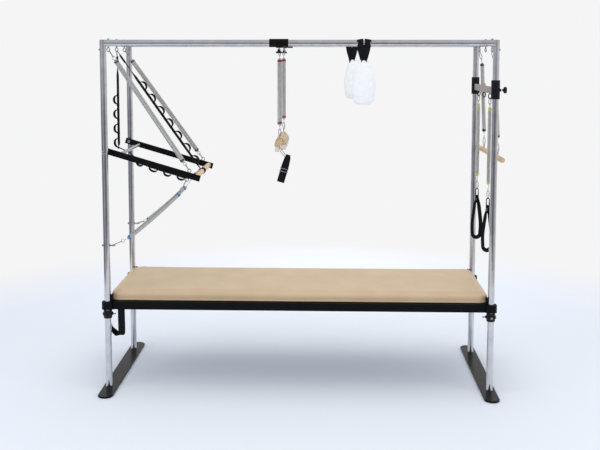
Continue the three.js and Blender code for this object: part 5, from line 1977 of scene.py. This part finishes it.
@dataclass(frozen=True)
class LegSprings:
    """Two leg springs below the end bar, each with a long double loop of webbing."""

    slide: EndSlide
    low: float = 1128.5
    gather: float = 8
    half: float = 24.5
    crown: float = 1142.5
    length: float = 316
    spring: Spring = Spring(11, TipColour.YELLOW, 76, 106)

    def build(self) -> list[bpy.types.Object]:
        """Makes the springs and their loops."""
        pieces = []
        for face, side in FACES:
            body = f"leg_spring_{face}"
            shape = Shape(f"{body}_wire", body)
            start = self.slide.eye(side)
            end = Eye(at(start.centre.x, start.centre.y, self.low), self.gather + 2.7, 0)
            self.spring.build(shape, start, end, X)
            pieces.append(shape.piece(body, "zinc_steel"))
            pieces.append(self.loop(face, start.centre))
        return pieces

    def loop(self, face: str, eye: Vector) -> bpy.types.Object:
        """Makes one webbing loop, narrowed where the snap hook takes it.

        Args:
            face: Name of the face.
            eye: The eye that it hangs from.

        Returns:
            The loop.
        """
        shape = Shape(f"leg_loop_{face}_webbing", f"leg_spring_{face}")
        x, y, crown = eye.x, eye.y, self.crown
        low = crown - self.length
        neck = self.gather + 0.5
        path = arc(at(x, y, crown - neck), X * neck, Z * neck, 8)
        left = [at(x - neck, y, crown - 34), at(x - neck - 1, y, crown - 76),
                at(x - self.half * 0.72, y, crown - 140),
                at(x - self.half * 1.1, y, low + 90)]
        bow = arc(at(x, y, low + self.half), X * -self.half, Z * -self.half, 10)
        right = [at(2 * x - p.x, p.y, p.z) for p in reversed(left)]
        ring = [*path, *curve([*left, *bow, *right], 3)]
        widths = [min(1.0, 0.42 + 0.58 * max(0.0, (crown - 16 - p.z) / 26)) for p in ring]
        twist = self.facing(ring, crown)
        Strap(26, 3.4).lay(shape, ring, Y, loop=True, widths=widths, twist=twist)
        sewn = Strap(25, 5)
        tab = [at(x, y, crown - height) for height in (42, 46, 66, 88, 92)]
        sewn.lay(shape, tab, Y, widths=[0.9, 1, 1, 1, 0.9])
        Strap(26, 2 * neck - 2).lay(shape, [at(x, y, crown - 44), at(x, y, crown - 60)], Y,
                                    widths=[0.96, 0.96])
        return shape.piece(f"leg_loop_{face}", "black_webbing")

    def facing(self, ring: list[Vector], crown: float) -> list[Vector]:
        """Returns the webbing's width direction, which leans out below the sewn neck.

        Args:
            ring: Points of the loop.
            crown: Height of its top.

        Returns:
            The direction of the width at each point.
        """
        ways = []
        for i, point in enumerate(ring):
            along = (ring[(i + 1) % len(ring)] - ring[i - 1]).normalized()
            outward_way = along.cross(Y)
            angle = math.radians(58) * min(1.0, max(0.0, (crown - 56 - point.z) / 50))
            ways.append(Y * math.cos(angle) + outward_way * math.sin(angle))
        return ways


@dataclass(frozen=True)
class RollDown:
    """The roll down bar: a maple dowel on two springs from the right end tube."""

    canopy: Canopy
    eyebolts: Eyebolts
    drop: float = 672
    radius: float = 16
    length: float = 677
    front: float = 46
    rear: float = 40
    eye_radius: float = 9
    eye_wire: float = 2.5
    spring: Spring = Spring(13, TipColour.BLACK, 92, 104, start_shift=(12, 0), end_shift=(5, 0))

    def eye(self, side: int) -> Eye:
        """Returns the screw eye at one side of the dowel."""
        reach = self.front if side < 0 else self.rear
        spread = self.canopy.half_width - self.eyebolts.inset
        height = self.canopy.rail_height - self.drop + self.radius + self.eye_radius
        return Eye(at(self.canopy.half_length + reach, side * spread, height),
                   self.eye_radius, self.eye_wire)

    def build(self) -> list[bpy.types.Object]:
        """Makes the springs and the dowel."""
        pieces = []
        for face, side in FACES:
            shape = Shape(f"roll_down_spring_{face}_wire", "roll_down")
            self.spring.build(shape, Eye(self.eyebolts.eye_centre(1, side)), self.eye(side), X)
            pieces.append(shape.piece(f"roll_down_spring_{face}", "zinc_steel"))
        return [*pieces, self.dowel()]

    def dowel(self) -> bpy.types.Object:
        """Makes the dowel with its screw eyes."""
        shape = Shape("roll_down_bar_maple", "roll_down")
        front, rear = self.eye(-1), self.eye(1)
        along = (rear.centre - front.centre).normalized()
        middle = (front.centre + rear.centre) / 2 - Z * (self.radius + self.eye_radius)
        shape.lathe(middle - along * (self.length / 2), along,
                    rod_profile(self.length, self.radius, 2), MAPLE, 40)
        for eye in (front, rear):
            eye.screw(shape, -Z)
        return shape.piece("roll_down_bar", "maple")


@dataclass(frozen=True)
class Lamp:
    """A square soft lamp: where it hangs and aims in metres, its size, power and colour."""

    name: str
    spot: tuple[float, float, float]
    aim: tuple[float, float, float]
    size: float
    power: float
    colour: str = "#e0ebff"
    mirrored: bool = False

    def hang(self) -> None:
        """Hangs the lamp, unseen by the camera and mirrored only where that is wanted."""
        data = bpy.data.lights.new(self.name, "AREA")
        data.shape, data.size, data.energy = "SQUARE", self.size, self.power
        data.color = linear(self.colour)[:3]
        lamp = add_object(self.name, data)
        lamp.location, lamp.visible_camera = self.spot, False
        lamp.visible_glossy = self.mirrored
        lamp.rotation_euler = (Vector(self.aim) - Vector(self.spot)).to_track_quat(
            "-Z", "Y").to_euler()


@dataclass(frozen=True)
class Studio:
    """The pale studio: camera, floor, backdrop light and soft lamps, in metres."""

    place: tuple[float, float, float] = (0.1564, -5.425, 1.998)
    yaw: float = -0.0288
    pitch: float = 0.0917
    roll: float = 0.0008
    lens: float = 52.93
    shift: float = -0.15
    wall: str = "#f5f5f6"
    floor: str = "#f2f3f4"
    floor_fade: tuple[float, float] = (2.5, 3.7)
    sky: tuple[str, float] = ("#ecf3ff", 0.74)
    mirror: tuple[str, float] = ("#dfe1e4", 0.85)
    cloth_radius: float = 3.6
    cloth_height: float = 3.4
    cloth_middle: float = 1.72
    cloth_fade: tuple[float, float, float] = (-0.35, 0.2, 0.42)
    cloth_pale: str = "#e4e4e8"
    bands: tuple[tuple[float, str], ...] = (
        (0.0, "#8f9098"), (0.06, "#62636b"), (0.12, "#bcbcc3"), (0.17, "#8c8c95"),
        (0.23, "#80818b"), (0.28, "#505159"), (0.34, "#98999e"), (0.42, "#c4c3bf"),
        (0.5, "#e6e5e2"), (0.75, "#f0efed"), (0.9, "#dcdcdf"), (1.0, "#8f9098"))
    lamps: tuple[Lamp, ...] = (
        Lamp("top_lamp", (0.2, -0.6, 4.6), (0, 0, 0.4), 4.5, 69, "#fffdf7"),
        Lamp("left_lamp", (-4.2, -3.6, 2.8), (-0.2, 0, 0.9), 2.6, 52, mirrored=True),
        Lamp("right_lamp", (4.4, -3.0, 2.6), (0.2, 0, 0.9), 2.2, 34, mirrored=True),
        Lamp("rear_lamp", (0.3, 4.6, 1.9), (0, 0, 0.1), 2.8, 55))

    def build(self) -> None:
        """Makes the camera, the world, the floor, the lamps and the banded cloth."""
        bpy.context.scene.view_settings.view_transform = "Standard"
        self.camera()
        self.world()
        self.ground()
        for lamp in self.lamps:
            lamp.hang()
        self.cloth()

    def camera(self) -> None:
        """Places the camera as the photograph was taken."""
        data = bpy.data.cameras.new("camera")
        data.lens, data.sensor_width = self.lens, 36
        data.shift_y, data.clip_end = self.shift, 60
        camera = add_object("camera", data)
        forward = Vector((math.sin(self.yaw) * math.cos(self.pitch),
                          math.cos(self.yaw) * math.cos(self.pitch), -math.sin(self.pitch)))
        turn = forward.to_track_quat("-Z", "Y")
        camera.matrix_world = (Matrix.Translation(self.place) @ turn.to_matrix().to_4x4()
                               @ Matrix.Rotation(self.roll, 4, "Z"))
        bpy.context.scene.camera = camera

    def world(self) -> None:
        """Lights the scene evenly and shows the pale wall behind it."""
        world = bpy.data.worlds.new("studio")
        world.use_nodes = True
        tree = world.node_tree
        tree.nodes.clear()
        light, wall, mirror = (
            add_node(tree, "ShaderNodeBackground", {
                "Color": linear(colour), "Strength": strength}).outputs[0]
            for colour, strength in (self.sky, (self.wall, 1.0), self.mirror))
        ray = add_node(tree, "ShaderNodeLightPath")
        seen = add_node(tree, "ShaderNodeMath", {"operation": "MAXIMUM"}, {
            0: ray.outputs["Is Camera Ray"], 1: ray.outputs["Is Transmission Ray"]})
        glossy = add_node(tree, "ShaderNodeMixShader", links={
            0: ray.outputs["Is Glossy Ray"], 1: light, 2: mirror})
        mix = add_node(tree, "ShaderNodeMixShader", links={
            0: seen.outputs[0], 1: glossy.outputs[0], 2: wall})
        add_node(tree, "ShaderNodeOutputWorld", links={"Surface": mix.outputs[0]})
        bpy.context.scene.world = world

    def ground(self) -> None:
        """Makes the pale floor, which keeps the shadow and fades into the wall."""
        bpy.ops.mesh.primitive_plane_add(size=60, location=(0, 0, 0))
        floor = bpy.context.object
        floor.name = "floor"
        floor.data.materials.append(self.floor_paint())

    def floor_paint(self) -> bpy.types.Material:
        """Returns the floor's matt paint, seen at its own pale colour where it is unshaded."""
        material, tree = new_material("painted_studio_floor")
        place = add_node(tree, "ShaderNodeTexCoord").outputs["Object"]
        far = add_node(tree, "ShaderNodeVectorMath", {"operation": "LENGTH"}, {0: place})
        near, gone = self.floor_fade
        share = add_node(tree, "ShaderNodeMapRange", {"From Min": near, "From Max": gone},
                         {"Value": far.outputs["Value"]})
        paint = add_node(tree, "ShaderNodeBsdfPrincipled", {
            "Base Color": linear(self.floor), "Roughness": 0.85, "Specular IOR Level": 0.2})
        wall = add_node(tree, "ShaderNodeEmission", {"Color": linear(self.wall), "Strength": 1.0})
        mix = add_node(tree, "ShaderNodeMixShader", links={
            0: share.outputs["Result"], 1: paint.outputs["BSDF"], 2: wall.outputs["Emission"]})
        add_node(tree, "ShaderNodeOutputMaterial", links={"Surface": mix.outputs[0]})
        return material

    def cloth(self) -> None:
        """Hangs a banded cloth round the set, seen only in the chrome as its streaks."""
        material, tree = new_material("banded_studio_cloth")
        place = add_node(tree, "ShaderNodeTexCoord").outputs["Object"]
        turn = add_node(tree, "ShaderNodeTexGradient", {"gradient_type": "RADIAL"},
                        {"Vector": place})
        bands = ramp(tree, turn.outputs["Fac"], self.bands)
        parts = add_node(tree, "ShaderNodeSeparateXYZ", links={"Vector": place})
        low, high, most = self.cloth_fade
        rise = add_node(tree, "ShaderNodeMapRange", {
            "From Min": low, "From Max": high, "To Max": most}, {"Value": parts.outputs["Z"]})
        paler = add_node(tree, "ShaderNodeMixRGB", {"Color2": linear(self.cloth_pale)}, {
            "Fac": rise.outputs["Result"], "Color1": bands})
        glow = add_node(tree, "ShaderNodeEmission", {"Strength": 1.0},
                        {"Color": paler.outputs["Color"]})
        add_node(tree, "ShaderNodeOutputMaterial", links={"Surface": glow.outputs[0]})
        bpy.ops.mesh.primitive_cylinder_add(
            vertices=96, radius=self.cloth_radius, depth=self.cloth_height,
            end_fill_type="NOTHING", location=(0, 0, self.cloth_middle))
        cloth = bpy.context.object
        cloth.name = "banded_cloth"
        cloth.data.materials.append(material)
        cloth.visible_camera = cloth.visible_diffuse = cloth.visible_shadow = False
        cloth.visible_transmission = False


def main() -> None:
    """Builds the studio and every group in order."""
    logging.basicConfig(level=logging.INFO, format="%(message)s")
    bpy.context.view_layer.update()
    Studio().build()
    canopy = Canopy()
    eyebolts, push_bar = Eyebolts(canopy), PushBar(canopy)
    trolley, end_slide = Trolley(canopy), EndSlide(canopy)
    groups = [canopy, eyebolts, Bed(canopy), Mattress(), SafetyStrap(), push_bar,
              PushBarSprings(eyebolts, push_bar), DaisyStraps(eyebolts, push_bar),
              trolley, Trapeze(trolley), FleeceCuffs(canopy), end_slide, LegSprings(end_slide),
              RollDown(canopy, eyebolts)]
    for group in groups:
        for piece in group.build():
            LOG.info("%s: %s", type(group).__name__, piece.name)


if __name__ == "__main__":
    main()
